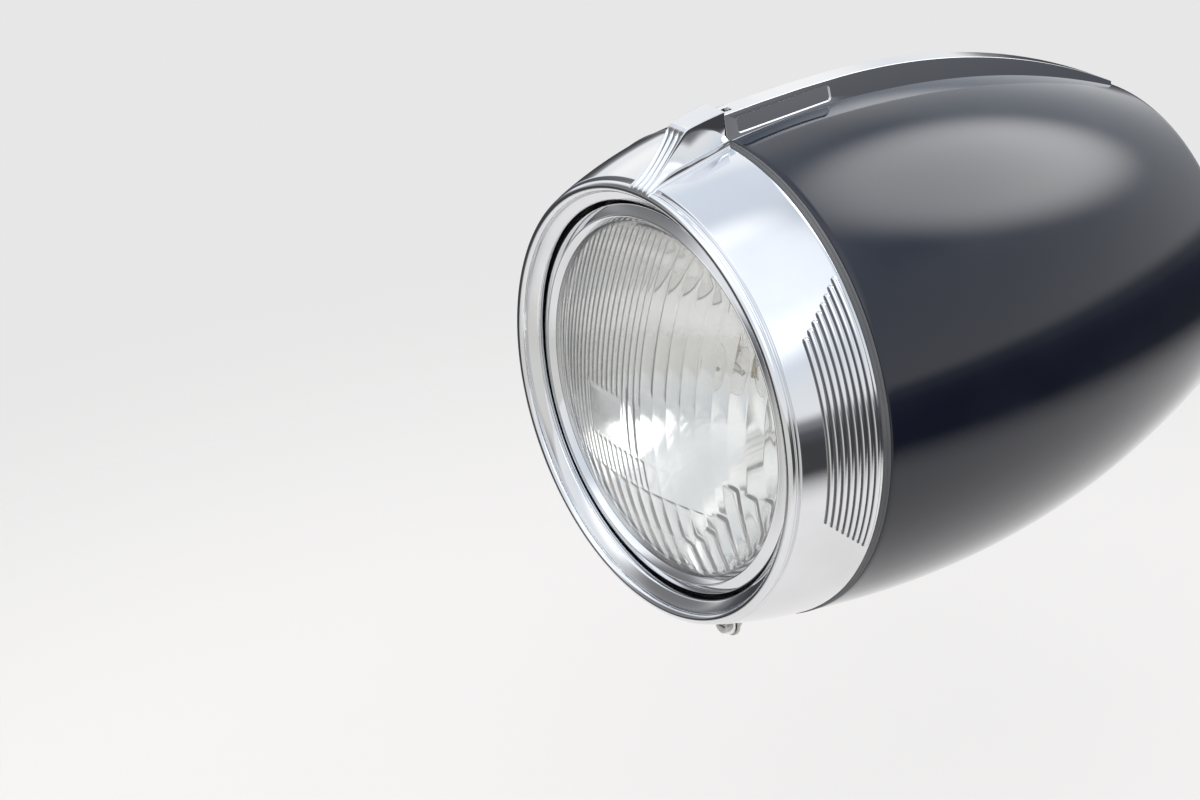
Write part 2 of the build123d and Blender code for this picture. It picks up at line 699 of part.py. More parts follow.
def make_rim_screw():
    z = clamp_z()
    seat = RIM_DEPTH - TAB_SHEET
    front = seat - CLAMP_HEAD
    screw = disc(CLAMP_HEAD_R, front, seat, z=z)
    screw += disc(CLAMP_SCREW_R, seat - OVER, seat + CLAMP_SCREW_LENGTH, z=z)
    slot = Box(3 * CLAMP_HEAD_R, 2 * CLAMP_SLOT_DEPTH, CLAMP_SLOT)
    return screw - Pos(0, front, z) * slot


# Bent strap on the pod's belly: a foot under the pod, and a plate with the nut.
def make_rim_catch():
    z = clamp_z()
    front = RIM_DEPTH + CATCH_GAP
    rear = front + CATCH_SHEET
    foot_end = POD_FRONT_Y + CATCH_FOOT
    foot_low = RIM_RISE - pod_radius(foot_end) - CATCH_FOOT_DROP
    plate = hanging_plate(CATCH_HALF, foot_low, front, rear)
    foot = Pos(0, (front + foot_end) / 2, foot_low + CATCH_FOOT_BLOCK / 2) * Box(
        2 * CATCH_HALF, foot_end - front, CATCH_FOOT_BLOCK)
    nut_face = Plane(origin=(0, rear, z), x_dir=(1, 0, 0), z_dir=(0, 1, 0))
    nut = extrude(nut_face * RegularPolygon(CATCH_NUT_R, 6), CATCH_NUT)
    catch = plate + foot + nut
    catch -= pod_body(0, POD_FRONT_Y, POD_LENGTH)
    catch -= disc(pod_radius(POD_FRONT_Y) + CATCH_GAP, RIM_DEPTH, POD_FRONT_Y, z=RIM_RISE)
    return catch - disc(CLAMP_SCREW_R + CLAMP_PLAY, front - OVER, rear + CATCH_NUT + OVER, z=z)


PIECES = {
    "nacelle_shell": make_nacelle_shell,
    "nacelle_strip": make_nacelle_strip,
    "hinge_pin": make_hinge_pin,
    "rim_gasket": make_rim_gasket,
    "lamp_bowl": make_lamp_bowl,
    "bowl_screws": make_bowl_screws,
    "pivot_pins": make_pivot_pins,
    "cable_grommet": make_cable_grommet,
    "gimbal_ring": make_gimbal_ring,
    "seat_ring": make_seat_ring,
    "lens": make_lens,
    "lens_gasket": make_lens_gasket,
    "retaining_ring": make_retaining_ring,
    "reflector": make_reflector,
    "bulb_holder": make_bulb_holder,
    "bulb_cap": make_bulb_cap,
    "bulb_glass": make_bulb_glass,
    "rim": make_rim,
    "rim_crest": make_rim_crest,
    "rim_hook": make_rim_hook,
    "rim_screw": make_rim_screw,
    "rim_catch": make_rim_catch,
}


def main():
    os.makedirs("parts", exist_ok=True)
    for name, make in PIECES.items():
        placed = Pos(0, -POD_LENGTH, -RIM_RISE) * make()
        export_step(placed, os.path.join("parts", name + ".step"))


main()
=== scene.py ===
# Looks for the round headlamp in its streamlined pod: chrome rim with a crest and ribbed
# cheeks, fluted glass, bright reflector and bulb, and a gloss black pod with a bright strip.
import math

import bmesh
import bpy
from mathutils import Matrix, Vector


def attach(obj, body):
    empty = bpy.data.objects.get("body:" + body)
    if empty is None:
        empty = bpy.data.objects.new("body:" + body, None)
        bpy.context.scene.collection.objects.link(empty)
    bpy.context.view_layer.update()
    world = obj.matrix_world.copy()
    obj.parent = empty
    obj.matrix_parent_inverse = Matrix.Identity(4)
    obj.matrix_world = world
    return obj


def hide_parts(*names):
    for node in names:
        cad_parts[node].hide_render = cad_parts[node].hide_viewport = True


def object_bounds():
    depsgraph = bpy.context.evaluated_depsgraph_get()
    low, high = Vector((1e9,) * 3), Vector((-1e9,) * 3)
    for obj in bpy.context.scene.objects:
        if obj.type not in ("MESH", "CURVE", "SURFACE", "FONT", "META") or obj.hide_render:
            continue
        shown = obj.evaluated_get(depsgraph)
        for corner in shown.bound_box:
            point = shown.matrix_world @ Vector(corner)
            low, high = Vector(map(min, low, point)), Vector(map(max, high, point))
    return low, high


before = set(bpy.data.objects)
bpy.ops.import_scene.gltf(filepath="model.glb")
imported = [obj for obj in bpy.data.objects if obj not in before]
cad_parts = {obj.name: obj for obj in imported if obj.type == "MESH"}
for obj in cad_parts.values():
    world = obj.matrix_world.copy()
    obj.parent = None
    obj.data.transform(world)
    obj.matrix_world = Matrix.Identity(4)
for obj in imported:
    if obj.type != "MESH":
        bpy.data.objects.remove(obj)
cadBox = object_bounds()
print("stage: frame loaded, nodes", len(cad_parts))

# All lamp sizes below are in millimetres from the centre of the rim's front lip;
# the record's origin lies this far behind it and above it.
lipToMount = (290.0, 2.5)
mm = 0.001
toFrame = Matrix.Translation(Vector((0, -lipToMount[0], -lipToMount[1])) * mm) @ Matrix.Scale(mm, 4)


# Camera: where the photograph was taken from
view = {"azimuth": 54.1, "elevation": 27.5, "distance": 1527.0, "roll": 3.9,
        "right": 21.07, "up": 2.75, "lens": 100.0}


def makeCamera():
    a = math.radians(view["azimuth"])
    e = math.radians(view["elevation"])
    back = Vector((math.sin(a) * math.cos(e), -math.cos(a) * math.cos(e), math.sin(e)))
    right = Vector((math.cos(a), math.sin(a), 0))
    up = back.cross(right)
    place = back * view["distance"] - right * view["right"] + up * view["up"]
    turn = Matrix.Rotation(math.radians(view["roll"]), 4, "Y")
    basis = Matrix((right, up, back)).transposed().to_4x4()
    data = bpy.data.cameras.new("photoCamera")
    data.lens = view["lens"]
    data.sensor_width = 36.0
    data.clip_start = 0.05
    camera = bpy.data.objects.new("photoCamera", data)
    bpy.context.scene.collection.objects.link(camera)
    world = toFrame @ turn @ Matrix.Translation(place) @ basis
    camera.location = world.to_translation()
    camera.rotation_euler = world.to_3x3().normalized().to_euler()
    bpy.context.scene.camera = camera


makeCamera()


# Studio: pale floor, soft lamps, and a pale world that metal sees as bright sky over a
# darker horizon
studio = {"floorDrop": 0.42, "floorSize": 1.5, "floorFade": (0.5, 0.98), "floorRough": 0.7,
          "floorColor": (0.66, 0.63, 0.60, 1), "background": (0.80, 0.80, 0.80, 1), "strength": 1.0,
          "ramp": ((0.40, (0.06, 0.06, 0.065, 1)), (0.445, (0.09, 0.095, 0.11, 1)),
                   (0.48, (0.22, 0.225, 0.24, 1)), (0.53, (0.92, 0.94, 0.96, 1)),
                   (0.78, (0.78, 0.84, 0.92, 1)), (0.90, (0.46, 0.54, 0.66, 1))),
          "zenith": (0.42, 0.49, 0.60, 1),
          "lamps": (("keyLamp", (1.9, -2.0, 2.2), 1.8, 26.0),
                    ("fillLamp", (-2.6, -1.2, 1.4), 2.2, 10.0))}

# Soft patches in the surroundings: how they blend, where, cosines of their soft edge, color
patches = (("LIGHTEN", (0.52, -0.76, -0.38), (0.62, 0.82), (0.74, 0.73, 0.71, 1)),
           ("ADD", (0.45, -0.20, 0.87), (0.74, 0.93), (0.70, 0.68, 0.66, 1)),
           ("ADD", (-0.36, -0.60, 0.72), (0.76, 0.93), (0.55, 0.53, 0.50, 1)),
           ("ADD", (0.05, 0.70, 0.71), (0.88, 0.985), (3.3, 3.25, 3.2, 1)),
           ("ADD", (-0.38, 0.12, 0.92), (0.84, 0.96), (0.34, 0.33, 0.31, 1)),
           ("ADD", (-0.75, 0.37, 0.55), (0.88, 0.97), (0.24, 0.20, 0.14, 1)),
           ("MIX", (-0.78, -0.54, 0.30), (0.86, 1.0), (0.21, 0.21, 0.215, 1)))


# Step of a value between two limits, rising from 0 to 1 or falling from 1 to 0
def addStep(tree, source, low, high, kind="SMOOTHSTEP", falling=False):
    step = tree.nodes.new("ShaderNodeMapRange")
    step.interpolation_type = kind
    step.inputs["From Min"].default_value = low
    step.inputs["From Max"].default_value = high
    step.inputs["To Min"].default_value = float(falling)
    step.inputs["To Max"].default_value = float(not falling)
    tree.links.new(source, step.inputs["Value"])
    return step.outputs["Result"]


# Mask of the directions near one direction, soft between two cosines
def directionMask(tree, source, direction, edge):
    toward = tree.nodes.new("ShaderNodeVectorMath")
    toward.operation = "DOT_PRODUCT"
    toward.inputs[1].default_value = Vector(direction).normalized()
    tree.links.new(source, toward.inputs[0])
    return addStep(tree, toward.outputs["Value"], edge[0], edge[1], "SMOOTHERSTEP")


def blendColor(tree, kind, factor, base, added):
    mix = tree.nodes.new("ShaderNodeMix")
    mix.data_type = "RGBA"
    mix.blend_type = kind
    mix.inputs["B"].default_value = added
    tree.links.new(factor, mix.inputs["Factor"])
    tree.links.new(base, mix.inputs["A"])
    return mix.outputs["Result"]


# The floor fades out towards its edge and can't be seen from below
def makeFloor():
    low = cadBox[0][2] - studio["floorDrop"]
    bm = bmesh.new()
    bmesh.ops.create_circle(bm, cap_ends=True, segments=96, radius=studio["floorSize"],
                            matrix=Matrix.Translation((0, 0, low)))
    mesh = bpy.data.meshes.new("studioFloor")
    bm.to_mesh(mesh)
    bm.free()
    floor = bpy.data.objects.new("studioFloor", mesh)
    bpy.context.scene.collection.objects.link(floor)
    material = bpy.data.materials.new("paleFloor")
    material.use_nodes = True
    tree = material.node_tree
    shader = tree.nodes["Principled BSDF"]
    shader.inputs["Base Color"].default_value = studio["floorColor"]
    shader.inputs["Roughness"].default_value = studio["floorRough"]
    shader.inputs["Specular IOR Level"].default_value = 0.2
    coord = tree.nodes.new("ShaderNodeTexCoord")
    reach = tree.nodes.new("ShaderNodeVectorMath")
    reach.operation = "LENGTH"
    flat = tree.nodes.new("ShaderNodeVectorMath")
    flat.operation = "MULTIPLY"
    flat.inputs[1].default_value = (1, 1, 0)
    tree.links.new(coord.outputs["Object"], flat.inputs[0])
    tree.links.new(flat.outputs[0], reach.inputs[0])
    near, far = [studio["floorSize"] * share for share in studio["floorFade"]]
    fade = addStep(tree, reach.outputs["Value"], near, far, falling=True)
    facing = tree.nodes.new("ShaderNodeNewGeometry")
    seen = tree.nodes.new("ShaderNodeMath")
    seen.operation = "SUBTRACT"
    seen.use_clamp = True
    tree.links.new(fade, seen.inputs[0])
    tree.links.new(facing.outputs["Backfacing"], seen.inputs[1])
    tree.links.new(seen.outputs[0], shader.inputs["Alpha"])
    mesh.materials.append(material)


# Camera rays meet the plain background, all others the sky with its patches
def makeWorld():
    world = bpy.data.worlds.new("studioWorld")
    bpy.context.scene.world = world
    world.use_nodes = True
    tree = world.node_tree
    tree.nodes.clear()
    out = tree.nodes.new("ShaderNodeOutputWorld")
    light = tree.nodes.new("ShaderNodeBackground")
    light.inputs["Strength"].default_value = studio["strength"]
    back = tree.nodes.new("ShaderNodeBackground")
    back.inputs["Color"].default_value = studio["background"]
    back.inputs["Strength"].default_value = 1.0
    coord = tree.nodes.new("ShaderNodeTexCoord")
    split = tree.nodes.new("ShaderNodeSeparateXYZ")
    ramp = tree.nodes.new("ShaderNodeValToRGB")
    ramp.color_ramp.interpolation = "EASE"
    stops = ramp.color_ramp.elements
    stops[0].position, stops[0].color = 0.0, studio["ramp"][0][1]
    stops[1].position, stops[1].color = 1.0, studio["zenith"]
    for place, color in studio["ramp"]:
        stop = stops.new(place)
        stop.color = color
    half = tree.nodes.new("ShaderNodeMath")
    half.operation = "MULTIPLY_ADD"
    half.inputs[1].default_value = 0.5
    half.inputs[2].default_value = 0.5
    path = tree.nodes.new("ShaderNodeLightPath")
    mix = tree.nodes.new("ShaderNodeMixShader")
    link = tree.links.new
    link(coord.outputs["Generated"], split.inputs[0])
    link(split.outputs["Z"], half.inputs[0])
    link(half.outputs[0], ramp.inputs["Fac"])
    surroundings = ramp.outputs["Color"]
    for kind, direction, edge, color in patches:
        mask = directionMask(tree, coord.outputs["Generated"], direction, edge)
        surroundings = blendColor(tree, kind, mask, surroundings, color)
    link(surroundings, light.inputs["Color"])
    link(path.outputs["Is Camera Ray"], mix.inputs["Fac"])
    link(light.outputs[0], mix.inputs[1])
    link(back.outputs[0], mix.inputs[2])
    link(mix.outputs[0], out.inputs["Surface"])


def makeLamps():
    for name, place, size, power in studio["lamps"]:
        data = bpy.data.lights.new(name, "AREA")
        data.shape = "DISK"
        data.size = size
        data.energy = power
        lamp = bpy.data.objects.new(name, data)
        lamp.location = place
        lamp.visible_glossy = False
        lamp.rotation_euler = (-Vector(place)).to_track_quat("-Z", "Y").to_euler()
        bpy.context.scene.collection.objects.link(lamp)


makeFloor()
makeWorld()
makeLamps()
bpy.context.scene.view_settings.view_transform = "Standard"
print("stage: camera and studio ready")


# Shader helpers
def newMaterial(name):
    material = bpy.data.materials.new(name)
    material.use_nodes = True
    return material, material.node_tree, material.node_tree.nodes["Principled BSDF"]


def newGroup(name, inputs, outputs):
    group = bpy.data.node_groups.new(name, "ShaderNodeTree")
    for label, kind, value in inputs:
        socket = group.interface.new_socket(label, in_out="INPUT", socket_type=kind)
        socket.default_value = value
    for label, kind in outputs:
        group.interface.new_socket(label, in_out="OUTPUT", socket_type=kind)
    return group, group.nodes.new("NodeGroupInput"), group.nodes.new("NodeGroupOutput")


def useGroup(tree, group, **values):
    node = tree.nodes.new("ShaderNodeGroup")
    node.node_tree = group
    for label, value in values.items():
        node.inputs[label].default_value = value
    return node


# Polish: roughness with a faint haze, a very fine grain as height, and a mask of soiled places
def makePolishGroup():
    group, start, end = newGroup(
        "polishWear",
        [("base", "NodeSocketFloat", 0.05), ("haze", "NodeSocketFloat", 0.05),
         ("scratch", "NodeSocketFloat", 0.05)],
        [("rough", "NodeSocketFloat"), ("height", "NodeSocketFloat"), ("soil", "NodeSocketFloat")])
    nodes, link = group.nodes, group.links.new
    coord = nodes.new("ShaderNodeTexCoord")
    cloud = nodes.new("ShaderNodeTexNoise")
    cloud.inputs["Scale"].default_value = 22.0
    cloud.inputs["Detail"].default_value = 4.0
    fine = nodes.new("ShaderNodeTexNoise")
    fine.inputs["Scale"].default_value = 900.0
    fine.inputs["Detail"].default_value = 2.0
    link(coord.outputs["Object"], cloud.inputs["Vector"])
    link(coord.outputs["Object"], fine.inputs["Vector"])
    soil = addStep(group, cloud.outputs["Fac"], 0.42, 0.75, "LINEAR")
    hazed = nodes.new("ShaderNodeMath")
    hazed.operation = "MULTIPLY_ADD"
    link(soil, hazed.inputs[0])
    link(start.outputs["haze"], hazed.inputs[1])
    link(start.outputs["base"], hazed.inputs[2])
    height = nodes.new("ShaderNodeMath")
    height.operation = "MULTIPLY"
    link(fine.outputs["Fac"], height.inputs[0])
    link(start.outputs["scratch"], height.inputs[1])
    link(hazed.outputs[0], end.inputs["rough"])
    link(height.outputs[0], end.inputs["height"])
    link(soil, end.inputs["soil"])
    return group


polishGroup = makePolishGroup()


def addBump(tree, shader, source, strength, distance):
    bump = tree.nodes.new("ShaderNodeBump")
    bump.inputs["Strength"].default_value = strength
    bump.inputs["Distance"].default_value = distance
    tree.links.new(source, bump.inputs["Height"])
    tree.links.new(bump.outputs["Normal"], shader.inputs["Normal"])


def tint(tree, shader, factor, low, high):
    mix = tree.nodes.new("ShaderNodeMix")
    mix.data_type = "RGBA"
    mix.inputs["A"].default_value = low
    mix.inputs["B"].default_value = high
    tree.links.new(factor, mix.inputs["Factor"])
    tree.links.new(mix.outputs["Result"], shader.inputs["Base Color"])


def polished(name, low, high, metallic, base, haze, scratch=0.3, bump=0.02, coat=0.0):
    material, tree, shader = newMaterial(name)
    shader.inputs["Metallic"].default_value = metallic
    shader.inputs["Coat Weight"].default_value = coat
    shader.inputs["Coat Roughness"].default_value = 0.03
    shader.inputs["Specular IOR Level"].default_value = 0.5 if coat == 0.0 else 0.1
    wear = useGroup(tree, polishGroup, base=base, haze=haze, scratch=scratch)
    tree.links.new(wear.outputs["rough"], shader.inputs["Roughness"])
    tint(tree, shader, wear.outputs["soil"], low, high)
    addBump(tree, shader, wear.outputs["height"], bump, 0.0001)
    return material


chrome = polished("chromePlate", (0.80, 0.81, 0.83, 1), (0.74, 0.75, 0.76, 1), 1.0, 0.035, 0.06)
podPaint = polished("blackEnamel", (0.0035, 0.0055, 0.013, 1), (0.006, 0.008, 0.017, 1), 0.0,
                    0.16, 0.12, coat=1.0)
bowlPaint = polished("bowlEnamel", (0.17, 0.175, 0.18, 1), (0.12, 0.12, 0.12, 1), 0.0,
                     0.34, 0.2)
zinc = polished("zincPlate", (0.56, 0.56, 0.53, 1), (0.44, 0.43, 0.39, 1), 1.0, 0.26, 0.2)
silver = polished("silveredBowl", (0.93, 0.93, 0.92, 1), (0.88, 0.88, 0.85, 1), 1.0, 0.07, 0.06)
brass = polished("bulbBrass", (0.68, 0.52, 0.24, 1), (0.50, 0.37, 0.17, 1), 1.0, 0.22, 0.2)
greyRubber = polished("rimRubber", (0.075, 0.078, 0.082, 1), (0.12, 0.12, 0.12, 1), 0.0,
                      0.55, 0.2, 1.0, 0.2)
blackRubber = polished("sealRubber", (0.018, 0.018, 0.018, 1), (0.04, 0.04, 0.038, 1), 0.0,
                       0.6, 0.2, 1.0, 0.2)
holderPlastic = polished("holderBakelite", (0.045, 0.030, 0.022, 1), (0.07, 0.05, 0.04, 1), 0.0,
                         0.35, 0.15)


# The part of the weight that does not transmit stands for old, faintly milky glass
def glassMaterial(name, color, roughness, clear=1.0):
    material, tree, shader = newMaterial(name)
    shader.inputs["Base Color"].default_value = color
    shader.inputs["Transmission Weight"].default_value = clear
    shader.inputs["IOR"].default_value = 1.5
    wear = useGroup(tree, polishGroup, base=roughness, haze=0.05, scratch=0.3)
    tree.links.new(wear.outputs["rough"], shader.inputs["Roughness"])
    return material


lensGlass = glassMaterial("pressedGlass", (0.985, 0.985, 0.975, 1), 0.01, 0.88)
bulbGlass = glassMaterial("bulbClear", (0.99, 0.985, 0.97, 1), 0.0)
print("stage: materials ready")


# Gives the CAD nodes their materials
nodeMaterials = {
    "nacelle_shell": podPaint, "nacelle_strip": chrome, "hinge_pin": zinc,
    "rim_gasket": greyRubber, "lamp_bowl": bowlPaint, "bowl_screws": zinc,
    "pivot_pins": zinc, "cable_grommet": blackRubber, "gimbal_ring": zinc, "seat_ring": zinc,
    "lens": lensGlass, "lens_gasket": blackRubber, "retaining_ring": chrome,
    "reflector": silver, "bulb_holder": holderPlastic, "bulb_cap": brass,
    "bulb_glass": bulbGlass, "rim": chrome, "rim_crest": chrome, "rim_hook": zinc,
    "rim_screw": chrome, "rim_catch": zinc,
}
for name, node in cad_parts.items():
    node.data.materials.clear()
    node.data.materials.append(nodeMaterials[name])


# Mesh helpers. A profile is a list of (y, radius, rounding) in millimetres.
def wireProfile(points, closed=True, segments=4):
    bm = bmesh.new()
    corners = [bm.verts.new((0, y, r)) for y, r, _ in points]
    pairs = list(zip(corners, corners[1:] + corners[:1]))
    for a, b in pairs if closed else pairs[:-1]:
        bm.edges.new((a, b))
    for corner, (_, _, rounding) in zip(corners, points):
        if rounding:
            bmesh.ops.bevel(bm, geom=[corner], offset=rounding, offset_type="OFFSET",
                            segments=segments, profile=0.5, affect="VERTICES", material=-1)
    return bm


def spinRound(bm, steps):
    bmesh.ops.spin(bm, geom=bm.verts[:] + bm.edges[:], cent=(0, 0, 0), axis=(0, 1, 0),
                   angle=2 * math.pi, steps=steps, use_merge=True)
    bmesh.ops.remove_doubles(bm, verts=bm.verts[:], dist=1e-4)


def finishPiece(name, bm, body, material, node=None, sharp=32.0, place=toFrame):
    bmesh.ops.recalc_face_normals(bm, faces=bm.faces[:])
    bm.transform(place)
    mesh = bpy.data.meshes.new(name)
    bm.to_mesh(mesh)
    bm.free()
    for face in mesh.polygons:
        face.use_smooth = True
    mesh.set_sharp_from_angle(angle=math.radians(sharp))
    mesh.materials.append(material)
    piece = bpy.data.objects.new(name, mesh)
    bpy.context.scene.collection.objects.link(piece)
    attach(piece, body)
    if node:
        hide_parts(node)
    return piece


# Turned piece in one call
def turnedPiece(name, points, steps, body, material, node=None, sharp=32.0):
    bm = wireProfile(points)
    spinRound(bm, steps)
    return finishPiece(name, bm, body, material, node, sharp)


# Copy of a CAD node with its edges broken by a small bevel
def softenedCopy(name, node, body, material, width, segments=2, angle=35.0):
    bm = bmesh.new()
    bm.from_mesh(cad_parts[node].data)
    bm.transform(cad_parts[node].matrix_world)
    bmesh.ops.remove_doubles(bm, verts=bm.verts[:], dist=2e-6)
    bmesh.ops.dissolve_limit(bm, angle_limit=math.radians(1.0), verts=bm.verts[:],
                             edges=bm.edges[:])
    piece = finishPiece(name, bm, body, material, node, angle, Matrix.Identity(4))
    bevel = piece.modifiers.new("softEdges", "BEVEL")
    bevel.width = width * mm
    bevel.segments = segments
    bevel.limit_method = "ANGLE"
    bevel.angle_limit = math.radians(angle)
    bevel.harden_normals = True
    return piece


# Loft: sections of equally many points, bridged one to the next and capped
def loft(bm, sections):
    loops = []
    for points in sections:
        corners = [bm.verts.new(p) for p in points]
        loops.append([bm.edges.new(pair) for pair in zip(corners, corners[1:] + corners[:1])])
    for near, far in zip(loops, loops[1:]):
        bmesh.ops.bridge_loops(bm, edges=near + far)
    bmesh.ops.holes_fill(bm, edges=loops[0] + loops[-1], sides=0)


def arcPoints(centre, radius, start, end, count):
    points = []
    for i in range(count + 1):
        a = math.radians(start + (end - start) * i / count)
        points.append((centre[0] + radius * math.cos(a), centre[1] + radius * math.sin(a), 0))
    return points


# Eased step from 0 at the first value to 1 at the second, which may be the lower one
def smooth(start, end, value):
    t = min(max((value - start) / (end - start), 0.0), 1.0)
    return t * t * (3 - 2 * t)


def mixed(low, high, value, a, b):
    return a + (b - a) * smooth(low, high, value)


# Flat outline in x and z, from one depth to another, with rounded edges
def plate(bm, outline, front, rear, rounding):
    face = bm.faces.new([bm.verts.new((x, front, z)) for x, z in outline])
    made = bmesh.ops.extrude_face_region(bm, geom=[face])["geom"]
    lifted = [v for v in made if isinstance(v, bmesh.types.BMVert)]
    bmesh.ops.translate(bm, vec=(0, rear - front, 0), verts=lifted)
    ends = [f for f in made if isinstance(f, bmesh.types.BMFace)] + [face]
    edges = list({e for f in ends for e in f.edges})
    bmesh.ops.bevel(bm, geom=edges, offset=rounding, offset_type="OFFSET", segments=2,
                    profile=0.5, affect="EDGES", material=-1)


# Rim: rolled lip, fine grooves, the dish and the barrel, whose circles climb to the rear
rimSizes = {"lipR": 105.0, "rearR": 116.0, "depth": 44.0, "bulge": 1.2, "rise": 2.5,
            "sheet": 1.2, "beadR": 2.5, "beadAt": (2.5, 103.1), "beadArc": (285, 40, 24),
            "crease": (4.75, 104.9, 0.12), "barrelStart": 5.1, "riseStart": (4.8, 104.95),
            "insideY": (40, 33, 26, 19, 12, 6),
            "dish": ((5.5, 103.1, 0.4), (7.4, 96.3, 0.3), (11.2, 95.9, 0.3), (11.2, 95.1, 0.3),
                     (6.3, 95.4, 0.9), (3.6, 100.1, 0.15), (3.9, 100.55, 0)),
            "tabHalf": 6.0, "tabTop": -112.9, "tabLow": -127.2, "tabFront": 42.5, "tabEdge": 0.35,
            "steps": 288}


def barrelRadius(y):
    t = y / rimSizes["depth"]
    grow = rimSizes["rearR"] - rimSizes["lipR"]
    return rimSizes["lipR"] + grow * t + 4 * rimSizes["bulge"] * t * (1 - t)


def barrelCentre(y):
    return rimSizes["rise"] * y / rimSizes["depth"]


def makeRim():
    s = rimSizes
    depth, sheet, half = s["depth"], s["sheet"], s["tabHalf"]
    points = arcPoints(s["beadAt"], s["beadR"], *s["beadArc"])
    points += [s["crease"], (s["barrelStart"], barrelRadius(s["barrelStart"]), 0.3)]
    points += [(y, barrelRadius(y), 0) for y in (6 + 1.9 * i for i in range(20))]
    points += [(depth, barrelRadius(depth), 0.4), (depth, barrelRadius(depth) - sheet, 0.3)]
    points += [(y, barrelRadius(y) - sheet, 0) for y in s["insideY"]]
    points += s["dish"]
    bm = wireProfile(points)
    spinRound(bm, s["steps"])
    for v in bm.verts:
        if v.co.y > s["riseStart"][0] and math.hypot(v.co.x, v.co.z) > s["riseStart"][1]:
            v.co.z += barrelCentre(v.co.y)
    tab = [(half, s["tabTop"])]
    for i in range(25):
        a = math.radians(180 * i / 24)
        tab.append((half * math.cos(a), s["tabLow"] - half * math.sin(a)))
    tab.append((-half, s["tabTop"]))
    plate(bm, tab, s["tabFront"], depth, s["tabEdge"])
    return finishPiece("rimShell", bm, "rim", chrome, "rim", 40.0)


# Ribs on the cheeks: rounded bars with ball ends, between slanted lines
# The last two entries are the painted shade in the grooves between the ribs: its share of the pitch
# and its colour
ribSizes = {"count": 8, "firstY": 18.6, "pitch": 3.2, "radius": 2.0, "sunk": 0.8,
            "topAngle": (59.0, 49.0), "lowAngle": (103.0, 113.0), "step": 1.5, "sides": 20,
            "rooted": 1.15, "grooveShadeShare": 0.2, "grooveShadeColor": (0.07, 0.07, 0.08, 1)}


# Painted shade in the grooves between the ribs: the base colour darkens in a band at each groove,
# with a mask from the place along the lamp's axis
def makeRibChrome():
    material = chrome.copy()
    material.name = "ribbedChrome"
    tree = material.node_tree
    shader = tree.nodes["Principled BSDF"]
    coord = tree.nodes.new("ShaderNodeTexCoord")
    split = tree.nodes.new("ShaderNodeSeparateXYZ")
    place = tree.nodes.new("ShaderNodeMath")
    place.operation = "MULTIPLY_ADD"
    place.inputs[1].default_value = 1 / (ribSizes["pitch"] * mm)
    place.inputs[2].default_value = (lipToMount[0] - ribSizes["firstY"]) / ribSizes["pitch"] + 0.5
    wave = tree.nodes.new("ShaderNodeMath")
    wave.operation = "PINGPONG"
    wave.inputs[1].default_value = 0.5
    unshadedColor = shader.inputs["Base Color"].links[0].from_socket
    tree.links.new(coord.outputs["Object"], split.inputs[0])
    tree.links.new(split.outputs["Y"], place.inputs[0])
    tree.links.new(place.outputs[0], wave.inputs[0])
    # painted shade: a dark colour is mixed into the grooves between the ribs, where shade falls
    shadeMask = addStep(tree, wave.outputs[0], 0.0, ribSizes["grooveShadeShare"], falling=True)
    shadedColor = blendColor(tree, "MIX", shadeMask, unshadedColor, ribSizes["grooveShadeColor"])
    tree.links.new(shadedColor, shader.inputs["Base Color"])
    return material


# Each rib is a round bar spun about the barrel's axis, with a ball at both ends; its back
# stays within the sheet
def makeRibs():
    s = ribSizes
    bm = bmesh.new()
    for number in range(s["count"]):
        y = s["firstY"] + s["pitch"] * number
        t = number / (s["count"] - 1)
        start, end = [a + (b - a) * t for a, b in (s["topAngle"], s["lowAngle"])]
        centre = Matrix.Translation((0, 0, barrelCentre(y)))
        outward = Matrix.Translation((0, y, barrelRadius(y) - s["sunk"]))
        for side in (1, -1):
            ends = [centre @ Matrix.Rotation(math.radians(side * a), 4, "Y") @ outward
                    for a in (start, end)]
            across = Matrix.Rotation(math.radians(90), 4, "Y")
            ring = bmesh.ops.create_circle(bm, segments=s["sides"], radius=s["radius"],
                                           matrix=ends[0] @ across)["verts"]
            edges = list({e for v in ring for e in v.link_edges})
            bmesh.ops.spin(bm, geom=ring + edges, cent=centre.to_translation(), axis=(0, side, 0),
                           angle=math.radians(end - start), steps=round((end - start) / s["step"]))
            for ball in ends:
                bmesh.ops.create_uvsphere(bm, u_segments=s["sides"], v_segments=s["sides"] // 2,
                                          radius=s["radius"], matrix=ball)
    bmesh.ops.holes_fill(bm, edges=bm.edges[:], sides=0)
    for v in bm.verts:
        middle = barrelCentre(v.co.y)
        depth = (barrelRadius(v.co.y) - s["rooted"]) / math.hypot(v.co.x, v.co.z - middle)
        if depth > 1:
            v.co = (v.co.x * depth, v.co.y, middle + (v.co.z - middle) * depth)
    return finishPiece("rimRibs", bm, "rim", makeRibChrome(), None, 60.0)


